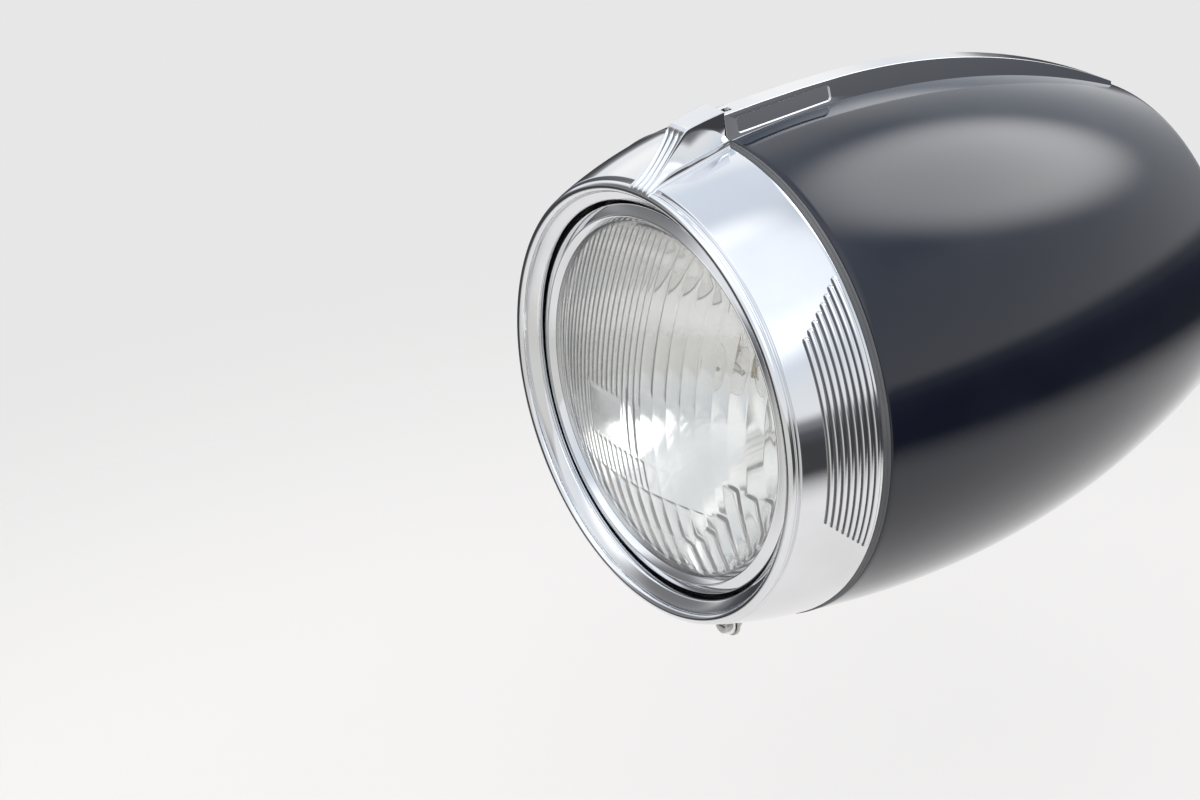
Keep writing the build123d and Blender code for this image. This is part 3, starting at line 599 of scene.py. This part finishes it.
# Crest: three flutes between four ridges climb to a flat facet; below it the walls flare
# to a raised line on a low base, whose sides fall to the barrel
crestSizes = {"topLine": ((0.4, 104.6), (0.9, 105.8), (1.6, 106.6), (3, 107.6), (6.5, 110.3),
                          (9.5, 113.2), (12.6, 116.6), (15.5, 120.2), (18, 123.5), (20.5, 126.8),
                          (22, 128.6), (23.4, 129.8), (26, 130.6), (33, 132.1), (44, 133.9)),
              "half": ((0, 5.6), (7, 4.9), (13, 4.8), (18, 5.4), (22, 6.2), (26, 6.4), (34, 6.8),
                       (44, 7.2)),
              "foot": ((0, 6.6), (7, 6.7), (13, 7.6), (20, 8.8), (30, 9.7), (38, 9.9), (44, 9.8)),
              "step": ((0, 0.9), (6, 2.4), (13, 3.2), (20, 3.4), (29, 3.2), (44, 2.9)),
              "wall": ((0, 0.1), (16, 0.06), (25, 0.0), (32, 0.16), (39, 0.50), (44, 0.93)),
              "flute": ((0, 0.3), (4, 0.9), (8, 1.25), (18, 1.35), (20.5, 1.1), (22, 0.0), (44, 0.0)),
              "flutes": 3, "crown": 0.15, "corner": 0.45, "line": 0.35, "skirt": 0.8,
              "facetY": 23.4, "fluteWidth": 0.93, "wallBend": (0.42, 0.36), "skirtBend": 0.15,
              "sunk": (5.5, 7.0, 2.3, 1.2)}


def along(table, y):
    for (y0, a), (y1, b) in zip(table, table[1:]):
        if y <= y1:
            t = max(0.0, (y - y0) / (y1 - y0))
            return a + (b - a) * t
    return table[-1][1]


# Smooth value of a table: the average of a few readings round the place
def eased(table, y, reach=2.0):
    return sum(along(table, y + reach * k / 3) for k in range(-3, 4)) / 7


# Radius of the rim's outside: the rolled lip first, then the barrel
def rimRadius(y):
    lipY, lipR = rimSizes["beadAt"]
    if y < lipY:
        return lipR + math.sqrt(rimSizes["beadR"] ** 2 - (y - lipY) ** 2)
    return mixed(lipY, 2 * lipY, y, lipR + rimSizes["beadR"], barrelRadius(max(y, 2 * lipY)))


# Place on a curve from a to c that b pulls aside
def bent(a, b, c, t):
    return a * (1 - t) ** 2 + 2 * b * t * (1 - t) + c * t * t


# One cross-section: fluted top, corner, flared wall, raised line, skirt and sunken foot
def crestSection(y):
    top = eased(crestSizes["topLine"], y, 0.4 + 0.6 * smooth(0, 4, y))
    half = eased(crestSizes["half"], y)
    foot = eased(crestSizes["foot"], y)
    crown = rimRadius(y) + barrelCentre(y)
    base = math.sqrt(rimRadius(y) ** 2 - foot ** 2) + barrelCentre(y)
    ledge = min(base + eased(crestSizes["step"], y), base + 0.5 * max(top - base, 0.1))
    depth = min(along(crestSizes["flute"], y), 0.6 * max(top - crown, 0.05))
    points = []
    steps = 8 * crestSizes["flutes"]
    for i in range(steps // 2, steps + 1):
        u = 2 * i / steps - 1
        t = i / 8 % 1.0
        hollow = 1 - (2 * t - 1) ** 2
        lift = crestSizes["crown"] * (1 - u * u) if y > crestSizes["facetY"] else 0.0
        points.append((half * u * crestSizes["fluteWidth"], top - depth * hollow + lift))
    corner = min(crestSizes["corner"], 0.3 * (top - ledge))
    for i in range(1, 5):
        a = math.radians(90 - 90 * i / 4)
        points.append((half - corner * 0.6 + corner * 0.6 * math.cos(a),
                       top - corner + corner * math.sin(a)))
    wallLow = top - corner - (top - corner - ledge) * eased(crestSizes["wall"], y)
    points.append((half, (top - corner + wallLow) / 2))
    bend = half + crestSizes["wallBend"][0] * (foot - half)
    control = ledge + crestSizes["wallBend"][1] * (wallLow - ledge)
    for i in range(11):
        points.append((bent(half, bend, foot, i / 10), bent(wallLow, control, ledge, i / 10)))
    line = min(crestSizes["line"], 0.4 * (ledge - base) + 0.05)
    for i in range(1, 7):
        a = math.radians(180 - 36 * i)
        points.append((foot + line + line * math.cos(a), ledge + line * math.sin(a)))
    edge, side = points[-1], crestSizes["skirt"]
    low = math.sqrt(rimRadius(y) ** 2 - (edge[0] + side) ** 2) + barrelCentre(y)
    for i in range(1, 8):
        points.append((bent(edge[0], edge[0] + crestSizes["skirtBend"], edge[0] + side, i / 7),
                       bent(edge[1], low, low - 0.05, i / 7)))
    near, far, deep, shallow = crestSizes["sunk"]
    points.append((edge[0] + side, base - mixed(near, far, y, deep, shallow)))
    ring = [(x, y, z) for x, z in points]
    ring += [(-x, y, z) for x, z in reversed(points) if x > 1e-6]
    return ring


def makeCrest():
    bm = bmesh.new()
    places = [0.35, 0.5, 0.75, 1.1, 1.6, 2.1] + [2.7 + 0.9 * i for i in range(20)] + [20.6]
    places += [21.2, 21.8, 22.4, 22.9, 23.3, 23.6, 23.9, 24.4, 25, 26] + list(range(27, 43))
    places += [42.8, 43.4, 43.9]
    loft(bm, [crestSection(y) for y in places])
    return finishPiece("rimCrest", bm, "rim", chrome, "rim_crest", 50.0)


makeRim()
makeRibs()
makeCrest()
softenedCopy("rimHook", "rim_hook", "rim", zinc, 0.3)
print("stage: rim, ribs and crest ready")


# Screws: a turned head and shank, and a slot sunk into the head's face
screwSizes = {"clamp": {"place": (0, -127.2), "front": 39.0, "seat": 42.5, "end": 53.0,
                        "headR": 4.5, "shankR": 2.0, "slot": 1.0, "slotDepth": 1.2},
              "bowl": {"place": (74.246, 74.246), "front": 44.6, "seat": 46.8, "end": 55.8,
                       "headR": 3.6, "shankR": 2.0, "slot": 0.8, "slotDepth": 0.9},
              "steps": 48}


def makeScrew(s):
    bm = wireProfile([(s["front"], 0.0, 0), (s["front"], s["headR"], 0.9),
                      (s["seat"], s["headR"], 0.1), (s["seat"], s["shankR"], 0),
                      (s["end"], s["shankR"], 0.6), (s["end"], 0.0, 0)], False)
    spinRound(bm, screwSizes["steps"])
    for side in (1, -1):
        bmesh.ops.bisect_plane(bm, geom=bm.verts[:] + bm.edges[:] + bm.faces[:],
                               plane_co=(0, 0, side * s["slot"] / 2), plane_no=(0, 0, 1))
    bm.normal_update()
    floor = [f for f in bm.faces if f.calc_center_median().y < s["front"] + 1e-4
             and abs(f.calc_center_median().z) < s["slot"] / 2]
    made = bmesh.ops.extrude_face_region(bm, geom=floor)["geom"]
    bmesh.ops.delete(bm, geom=floor, context="FACES")
    bmesh.ops.translate(bm, vec=(0, s["slotDepth"], 0),
                        verts=[v for v in made if isinstance(v, bmesh.types.BMVert)])
    bmesh.ops.translate(bm, vec=(s["place"][0], 0, s["place"][1]), verts=bm.verts[:])
    return bm


def makeRimScrew():
    bm = makeScrew(screwSizes["clamp"])
    return finishPiece("rimScrew", bm, "rim", zinc, "rim_screw", 40.0)


# Four screws, each a quarter turn from the last
def makeBowlScrews():
    bm = makeScrew(screwSizes["bowl"])
    bmesh.ops.spin(bm, geom=bm.verts[:] + bm.edges[:] + bm.faces[:], cent=(0, 0, 0),
                   axis=(0, 1, 0), angle=math.radians(270), steps=3, use_duplicate=True)
    return finishPiece("bowlScrews", bm, "nacelle", zinc, "bowl_screws", 40.0)


makeRimScrew()
makeBowlScrews()
softenedCopy("rimCatch", "rim_catch", "nacelle", zinc, 0.3)

# Two flattened balls stand for the heads of the rivets that hold the catch's foot
rivetSizes = {"headR": 2.6, "height": 1.3, "places": (51.0, 60.0), "face": -118.64}


def makeRivets():
    bm = bmesh.new()
    flat = Matrix.Diagonal((rivetSizes["headR"], rivetSizes["headR"], rivetSizes["height"], 1))
    for y in rivetSizes["places"]:
        bmesh.ops.create_uvsphere(bm, u_segments=24, v_segments=12, radius=1.0,
                                  matrix=Matrix.Translation((0, y, rivetSizes["face"])) @ flat)
    return finishPiece("catchRivets", bm, "nacelle", zinc, None, 40.0)


# Pod: pressed shell with a rounded front edge, and a bolted flange at the rear
podSizes = {"frontY": 48.0, "maxR": 120.78, "maxY": 110.0, "tailR": 85.0, "length": 290.0,
            "sheet": 1.5, "flange": 3.0, "flangeInset": 1.4, "bowlHole": 101.0, "opening": 58.0,
            "boltR": 70.0, "holeR": 3.3, "rise": 2.5, "riseStart": (60, 102.5), "steps": 256}
podTaper = podSizes["maxR"] - podSizes["tailR"]
podArc = ((podSizes["length"] - podSizes["maxY"]) ** 2 + podTaper ** 2) / (2 * podTaper)


# The pod's side is one arc, widest at maxY
def podRadius(y):
    return podSizes["maxR"] - podArc + math.sqrt(podArc ** 2 - (y - podSizes["maxY"]) ** 2)


def makePod():
    s = podSizes
    front, length, sheet, flange = s["frontY"], s["length"], s["sheet"], s["flange"]
    inset = s["tailR"] - s["flangeInset"]
    points = [(front, s["bowlHole"], 0.3), (front, podRadius(front), 1.3)]
    points += [(front + (length - front) * i / 72, podRadius(front + (length - front) * i / 72), 0)
               for i in range(1, 72)]
    points += [(length, s["tailR"], 0.8), (length, inset, 0), (length - flange, inset, 0)]
    inner = [front + sheet + (length - flange - front - sheet) * i / 24 for i in range(24, 0, -1)]
    points += [(y, podRadius(y) - sheet, 0) for y in inner]
    points += [(front + sheet, podRadius(front) - 2 * sheet, 0.6),
               (front + sheet, s["bowlHole"], 0.3)]
    bm = wireProfile(points)
    spinRound(bm, s["steps"])
    farY, farR = s["riseStart"]
    for v in bm.verts:
        v.co.z += s["rise"] if math.hypot(v.co.x, v.co.z) > farR or v.co.y > farY else 0.0
    return finishPiece("podShell", bm, "nacelle", podPaint, "nacelle_shell", 40.0)


# Circles for the outside, the opening and six holes, filled and thickened
def makePodFlange():
    s = podSizes
    bm = bmesh.new()
    circles = [(s["tailR"] - s["flangeInset"], 0.0, 0, s["steps"]), (s["opening"], 0.0, 0, 144)]
    circles += [(s["holeR"], s["boltR"], 60 * i, 40) for i in range(6)]
    for radius, outward, angle, steps in circles:
        place = Matrix.Rotation(math.radians(angle), 4, "Y")
        place = place @ Matrix.Translation((outward, s["length"], 0))
        bmesh.ops.create_circle(bm, segments=steps, radius=radius,
                                matrix=place @ Matrix.Rotation(math.radians(90), 4, "X"))
    bmesh.ops.triangle_fill(bm, use_beauty=True, use_dissolve=False, edges=bm.edges[:])
    bmesh.ops.dissolve_limit(bm, angle_limit=0.01, verts=bm.verts[:], edges=bm.edges[:])
    made = bmesh.ops.extrude_face_region(bm, geom=bm.faces[:])["geom"]
    lifted = [v for v in made if isinstance(v, bmesh.types.BMVert)]
    bmesh.ops.translate(bm, vec=(0, -s["flange"], 0), verts=lifted)
    bmesh.ops.translate(bm, vec=(0, 0, s["rise"]), verts=bm.verts[:])
    return finishPiece("podFlange", bm, "nacelle", podPaint, None, 30.0)


makePod()
makePodFlange()
makeRivets()

# Strip: a copy of the CAD piece whose sides lean outwards from the top edge to the pod
stripSizes = {"lean": 0.17, "topY": 112.0, "topZ": 134.0, "frontArcR": 800.0, "endY": 284.0,
              "endHeight": 2.2, "coreHalf": 1.5, "sink": 0.3}


# Height of the strip's top line: an arc in front, a parabola down to the tail
def stripTop(y):
    s = stripSizes
    if y < s["topY"]:
        return s["topZ"] - s["frontArcR"] + math.sqrt(s["frontArcR"] ** 2 - (y - s["topY"]) ** 2)
    drop = s["topZ"] - (podSizes["rise"] + podRadius(s["endY"]) + s["endHeight"])
    return s["topZ"] - drop * ((y - s["topY"]) / (s["endY"] - s["topY"])) ** 2


# Only points beside the strip's middle move, the more the lower they lie
def leanStrip(strip):
    toLamp = toFrame.inverted()
    for v in strip.data.vertices:
        place = toLamp @ v.co
        if abs(place.x) < stripSizes["coreHalf"]:
            continue
        height = max(stripTop(place.y) - place.z, 0.0)
        place.x += math.copysign(stripSizes["lean"] * height, place.x)
        place.z -= stripSizes["sink"] * min(height / 10.0, 1.0)
        v.co = toFrame @ place


leanStrip(softenedCopy("podStrip", "nacelle_strip", "nacelle", chrome, 0.45, 3, 30.0))
print("stage: pod ready")


# Rubber ring between rim and pod, with a fine groove round its outside
gasketSizes = {"front": 44.0, "rear": 48.0, "outR": 116.7, "inR": 110.4, "groove": 0.5,
               "grooveY": (45.6, 46.1, 46.6), "frontInset": 0.4, "riseStart": 112, "steps": 256}


def makeGasket():
    s = gasketSizes
    near, low, far = s["grooveY"]
    points = [(s["front"], s["inR"], 0.2), (s["front"], s["outR"] - s["frontInset"], 0.9),
              (near, s["outR"], 0.3), (low, s["outR"] - s["groove"], 0.1), (far, s["outR"], 0.3),
              (s["rear"], s["outR"], 0.5), (s["rear"], s["inR"], 0.2)]
    bm = wireProfile(points)
    spinRound(bm, s["steps"])
    for v in bm.verts:
        v.co.z += podSizes["rise"] if math.hypot(v.co.x, v.co.z) > s["riseStart"] else 0.0
    return finishPiece("rimGasket", bm, "nacelle", greyRubber, "rim_gasket", 40.0)


makeGasket()

# Bright ring round the glass, and the seal under the glass
ringSizes = {"profile": ((9.6, 85.05, 0.15), (7.25, 87.55, 0.15), (7.0, 88.0, 0.25),
                         (7.3, 88.5, 0.15), (8.9, 93.1, 0.5), (10.2, 93.5, 0.4),
                         (18.0, 93.5, 0.3), (18.0, 92.5, 0.3), (10.6, 92.5, 0.3),
                         (9.9, 91.9, 0.3), (8.2, 88.0, 0.2), (9.6, 86.4, 0.15)),
             "steps": 288, "sharp": 28.0}
turnedPiece("glassRing", ringSizes["profile"], ringSizes["steps"], "light_unit",
            chrome, "retaining_ring", ringSizes["sharp"])
sealSizes = {"profile": ((13.1, 83.5, 0.3), (13.1, 89.5, 0.4), (16.0, 89.5, 0.4),
                         (16.0, 83.5, 0.3)),
             "steps": 192}
turnedPiece("glassSeal", sealSizes["profile"], sealSizes["steps"], "light_unit",
            blackRubber, "lens_gasket")


# Glass: smooth dome outside; flutes, bars and prisms pressed into the inside
glassSizes = {"radius": 85.0, "edgeY": 9.6, "dome": 21.0, "thick": 3.5, "pitch": 4.25,
              "columns": 400, "rows": 142, "crispRows": (-22.4, -38.5, -60.05, -60.45, -60.9),
              "fine": 0.36, "broad": 0.62, "faint": 0.14, "bar": 0.7, "deep": 1.7, "step": 0.2,
              "pad": (-35, -5, -20.5, 4), "padEdge": 0.4,
              "bars": ((-4.4, -1.0, 11.0, -21.0), (-0.4, 4.6, 6.0, -22.0))}
glassDome = (glassSizes["radius"] ** 2 + glassSizes["dome"] ** 2) / (2 * glassSizes["dome"])


def domeY(x, z):
    sunk = glassDome - math.sqrt(glassDome ** 2 - x * x - z * z)
    return glassSizes["edgeY"] - glassSizes["dome"] + sunk


# Round-backed flute across a pitch: 0 at its sides and 1 in its middle
def flute(x, pitch, shift=0.0):
    t = (x / pitch + shift) % 1.0
    return 1 - (2 * t - 1) ** 2


# Upper flutes: fine ones at the left and over the top, double ones at the right that end
# in scallops half way down
def upperFlutes(x, z, r):
    pitch = glassSizes["pitch"]
    rim = 1 - smooth(80, 83.5, r)
    if x >= 2 * pitch:
        end = 9.0 + 3.0 * flute(x, 2 * pitch)
        return glassSizes["broad"] * flute(x, 2 * pitch) * smooth(end - 1.5, end + 3.0, z) * rim
    low = 4.0 if x > -36 else -90.0
    return glassSizes["fine"] * flute(x, pitch) * smooth(low - 1.0, low + 2.0, z) * rim


# Centre: a plain pad with a thin border and two upright bars with rounded ends
def centrePiece(x, z):
    height = 0.0
    left, right, low, high = glassSizes["pad"]
    if left < x < right and low < z < high:
        edge = min(x - left, right - x, z - low, high - z)
        height = glassSizes["padEdge"] * (smooth(0, 0.5, edge) - smooth(0.7, 1.3, edge))
    for low, high, top, bottom in glassSizes["bars"]:
        if low < x < high and bottom < z < top:
            t = (x - low) / (high - low)
            ends = smooth(0, 1.2, min(top - z, z - bottom))
            height = max(height, glassSizes["bar"] * (1 - (2 * t - 1) ** 2) * ends)
    return height


# Lower flutes: a band of fine ones, under it broad ones that swell downwards in two steps,
# and thick prisms along the lower edge
def lowerFlutes(x, z, r):
    pitch = glassSizes["pitch"]
    band = mixed(6.5, 10.5, x, glassSizes["fine"] * flute(x, pitch),
                 glassSizes["faint"] * flute(x, 2 * pitch))
    band *= smooth(-22.0, -23.2, z) * smooth(-38.6, -37.4, z)
    broad = glassSizes["broad"] * flute(x, 2 * pitch) + glassSizes["step"]
    swell = mixed(-38.0, -60.0, z, 0.45, 1.0) if z > -60 else mixed(-61.0, -84.0, z, 0.5, 1.0)
    rim = 1 - smooth(80.5, 84.0, r)
    broad *= swell * smooth(-38.2, -39.2, z) * rim
    column = 2 * pitch * (math.floor(x / (2 * pitch) + 0.5))
    top = -math.sqrt(max(62.0 ** 2 - column ** 2, 0.0)) if abs(column) < 62 else -20.0
    prism = glassSizes["deep"] * flute(x, 2 * pitch, 0.5)
    prism *= smooth(top, top - 5.0, z) * rim * smooth(16.0, 24.0, x)
    return max(band, broad, prism)


# Height of the whole pressed pattern on the inside of the glass
def relief(x, z):
    r = math.hypot(x, z)
    faint = 0.0
    if x > glassSizes["pitch"]:
        faint = glassSizes["faint"] * flute(x, 2 * glassSizes["pitch"])
        faint *= smooth(-22.0, -20.0, z) * smooth(16.0, 12.0, z) * (1 - smooth(80, 83.5, r))
    return max(upperFlutes(x, z, r), centrePiece(x, z), lowerFlutes(x, z, r), faint)


# A grid is pulled in to the round edge, then thickened; its rear face carries the pattern
def makeGlass():
    s = glassSizes
    bm = bmesh.new()
    bmesh.ops.create_grid(bm, x_segments=s["columns"], y_segments=s["rows"], size=s["radius"],
                          matrix=Matrix.Rotation(math.radians(90), 4, "X"))
    for z in s["crispRows"]:
        bmesh.ops.bisect_plane(bm, geom=bm.verts[:] + bm.edges[:] + bm.faces[:],
                               plane_co=(0, 0, z), plane_no=(0, 0, 1))
    for v in bm.verts:
        reach = math.sqrt(max(0.0, s["radius"] ** 2 - v.co.x ** 2))
        v.co.z = max(-reach, min(reach, v.co.z))
    bmesh.ops.remove_doubles(bm, verts=bm.verts[:], dist=1e-3)
    made = bmesh.ops.extrude_face_region(bm, geom=bm.faces[:])["geom"]
    for v in bm.verts:
        v.co.y = domeY(v.co.x, v.co.z)
    for v in made:
        if isinstance(v, bmesh.types.BMVert):
            v.co.y += s["thick"] + relief(v.co.x, v.co.z)
    return finishPiece("flutedGlass", bm, "light_unit", lensGlass, "lens", 50.0)


makeGlass()
print("stage: glass ready")


# Reflector: parabola with a flange in front and a collar for the bulb behind
reflectorSizes = {"radius": 82.0, "front": 16.0, "focus": 25.0, "holeR": 15.0, "flangeR": 90.5,
                  "collar": 6.0, "wall": 1.2, "steps": 224}


def makeReflector():
    s = reflectorSizes
    depth = s["radius"] ** 2 / (4 * s["focus"])

    def parabola(r):
        return s["front"] + depth - r * r / (4 * s["focus"])

    neck = parabola(s["holeR"])
    inner = [s["radius"] + (s["holeR"] - s["radius"]) * i / 48 for i in range(49)]
    points = [(s["front"], s["flangeR"], 0.2)]
    roundings = {0: 0.3, 48: 0.5}
    points += [(parabola(r), r, roundings.get(i, 0)) for i, r in enumerate(inner)]
    points += [(neck + s["collar"], s["holeR"], 0.2),
               (neck + s["collar"], s["holeR"] + s["wall"], 0.3),
               (neck + s["wall"], s["holeR"] + s["wall"], 0.3)]
    points += [(parabola(r) + 1.1, r + 0.6, 0) for r in inner[-2:0:-3]]
    points += [(s["front"] + 1, s["radius"] + 1, 0.3), (s["front"] + 1, s["flangeR"], 0.2)]
    bm = wireProfile(points)
    spinRound(bm, s["steps"])
    return finishPiece("reflectorBowl", bm, "light_unit", silver, "reflector", 40.0)


makeReflector()

# Bulb: hollow globe and neck, cap, and inside two coils on bent posts
bulbSizes = {"globeR": 11.5, "neckR": 7.0, "focusY": 58.24, "capFront": 72.99, "wall": 0.5,
             "coilR": 0.7, "coilLength": 5.0, "turns": 9, "wire": 0.16, "post": 0.35,
             "second": (4.6, 0.8), "bend": (1.15, 3, 0.6), "steps": 64}


def makeBulbGlass():
    s = bulbSizes
    neckAngle = math.degrees(math.asin(s["neckR"] / s["globeR"]))
    bm = bmesh.new()
    profile = [(s["focusY"] - s["globeR"] * math.cos(math.radians(a)),
                s["globeR"] * math.sin(math.radians(a)))
               for a in ((180 - neckAngle) * i / 28 for i in range(29))]
    profile.append((s["capFront"] + 0.3, s["neckR"]))
    thin = s["globeR"] - s["wall"]
    back = [(s["focusY"] - thin * math.cos(math.radians(a)), thin * math.sin(math.radians(a)))
            for a in ((178 - neckAngle) * i / 28 for i in range(29))]
    profile += [(s["capFront"] + 0.3, s["neckR"] - s["wall"])] + list(reversed(back))
    corners = [bm.verts.new((0, y, r)) for y, r in profile]
    for a, b in zip(corners, corners[1:]):
        bm.edges.new((a, b))
    spinRound(bm, s["steps"])
    return finishPiece("bulbGlobe", bm, "light_unit", bulbGlass, "bulb_glass", 40.0)


# Straight rod between two points
def rod(bm, start, end, radius):
    line = Vector(end) - Vector(start)
    turn = line.to_track_quat("Z", "Y").to_matrix().to_4x4()
    place = Matrix.Translation((Vector(start) + Vector(end)) / 2) @ turn
    bmesh.ops.create_cone(bm, cap_ends=True, segments=10, radius1=radius, radius2=radius,
                          depth=line.length, matrix=place)


# Two coils, each a small ring spun with a sideways feed, on bent posts
def makeFilament():
    s = bulbSizes
    bm = bmesh.new()
    half = s["coilLength"] / 2
    steps = s["turns"] * 12
    spread, back, down = s["bend"]
    for y, drop in ((s["focusY"], 0.0), (s["focusY"] - s["second"][0], s["second"][1])):
        start = Matrix.Translation((-half, y + s["coilR"], drop))
        ring = bmesh.ops.create_circle(bm, segments=8, radius=s["wire"], matrix=start)["verts"]
        edges = list({e for v in ring for e in v.link_edges})
        bmesh.ops.spin(bm, geom=ring + edges, cent=(-half, y, drop), axis=(1, 0, 0),
                       dvec=(s["coilLength"] / steps, 0, 0), angle=s["turns"] * 2 * math.pi,
                       steps=steps)
        for x in (-half, half):
            bend = (x * spread, y + back, drop - down)
            rod(bm, (x, y + s["coilR"], drop), bend, s["post"])
            rod(bm, bend, (x * spread, s["capFront"] + 2, -2), s["post"])
    bmesh.ops.holes_fill(bm, edges=bm.edges[:], sides=0)
    return finishPiece("bulbFilament", bm, "light_unit", zinc, None, 60.0)


makeBulbGlass()
makeFilament()
capSizes = {"profile": ((72.99, 2.0, 0), (72.99, 9.0, 0.5), (85.49, 9.0, 0.2),
                        (85.49, 14.8, 0.3), (86.99, 14.8, 0.3), (86.99, 9.0, 0.2),
                        (106.9, 9.0, 0.8), (106.9, 2.0, 0)),
            "steps": 64}
turnedPiece("bulbBase", capSizes["profile"], capSizes["steps"], "light_unit",
            brass, "bulb_cap")
holderSizes = {"profile": ((86.99, 9.2, 0.3), (86.99, 20.0, 0.6), (89.99, 20.0, 0.6),
                           (89.99, 15.0, 0.8), (108.99, 14.0, 0.8), (108.99, 9.2, 0.4)),
               "steps": 72}
turnedPiece("bulbSocket", holderSizes["profile"], holderSizes["steps"], "light_unit",
            holderPlastic, "bulb_holder")
print("stage: light unit ready")


# Bowl behind the light unit, and the grommet in its back
bowlSizes = {"radius": 100.0, "sheet": 1.2, "front": 14.0, "face": 46.8, "wallY": 48.0,
             "flangeR": 110.0, "shoulderY": 99.99, "backY": 149.99, "backR": 46.0,
             "crown": (137.0, 87.0), "holeR": 10.0, "arcSteps": 20, "steps": 192}


# Points of the circle's arc that runs from a through b to c
def arcThrough(a, b, c, count):
    ax, ay, bx, by, cx, cy = a + b + c
    d = 2 * (ax * (by - cy) + bx * (cy - ay) + cx * (ay - by))
    a2, b2, c2 = ax * ax + ay * ay, bx * bx + by * by, cx * cx + cy * cy
    ux = (a2 * (by - cy) + b2 * (cy - ay) + c2 * (ay - by)) / d
    uy = (a2 * (cx - bx) + b2 * (ax - cx) + c2 * (bx - ax)) / d
    start = math.atan2(ay - uy, ax - ux)
    turn = math.atan2(cy - uy, cx - ux) - start
    turn = (turn + math.pi) % (2 * math.pi) - math.pi
    reach = math.hypot(ax - ux, ay - uy)
    angles = [start + turn * i / count for i in range(count + 1)]
    return [(ux + reach * math.cos(w), uy + reach * math.sin(w), 0) for w in angles]


def makeBowl():
    s = bowlSizes
    r, t = s["radius"], s["sheet"]
    inset = t / math.sqrt(2)
    inside = (s["crown"][0] - inset, s["crown"][1] - inset)
    points = [(s["front"], r - t, 0.3), (s["front"], r, 0.4), (s["face"], r, 0.8),
              (s["face"], s["flangeR"], 0.3), (s["wallY"], s["flangeR"], 0.3),
              (s["wallY"], r, 0.8)]
    points += arcThrough((s["shoulderY"], r), s["crown"], (s["backY"], s["backR"]), s["arcSteps"])
    points += [(s["backY"], s["holeR"], 0.3), (s["backY"] - t, s["holeR"], 0.3)]
    points += arcThrough((s["backY"] - t, s["backR"] - t), inside, (s["shoulderY"], r - t),
                         s["arcSteps"])
    bm = wireProfile(points)
    spinRound(bm, s["steps"])
    return finishPiece("lampBowl", bm, "nacelle", bowlPaint, "lamp_bowl", 40.0)


makeBowl()
grommetSizes = {"profile": ((146.3, 5.0, 0.4), (146.3, 13.0, 0.8), (148.8, 13.0, 0.2),
                            (148.8, 10.0, 0.1), (150.0, 10.0, 0.1), (150.0, 13.0, 0.6),
                            (152.0, 12.0, 0.4), (152.6, 10.4, 0.3), (154.0, 10.0, 0.4),
                            (154.6, 8.9, 0.3), (158.0, 8.0, 0.6), (158.0, 5.0, 0.4)),
                "steps": 64}
turnedPiece("cableGrommet", grommetSizes["profile"], grommetSizes["steps"], "nacelle",
            blackRubber, "cable_grommet")
softenedCopy("seatRing", "seat_ring", "light_unit", zinc, 0.3)
softenedCopy("gimbalRing", "gimbal_ring", "gimbal", zinc, 0.4)

print("stage: pieces ready")
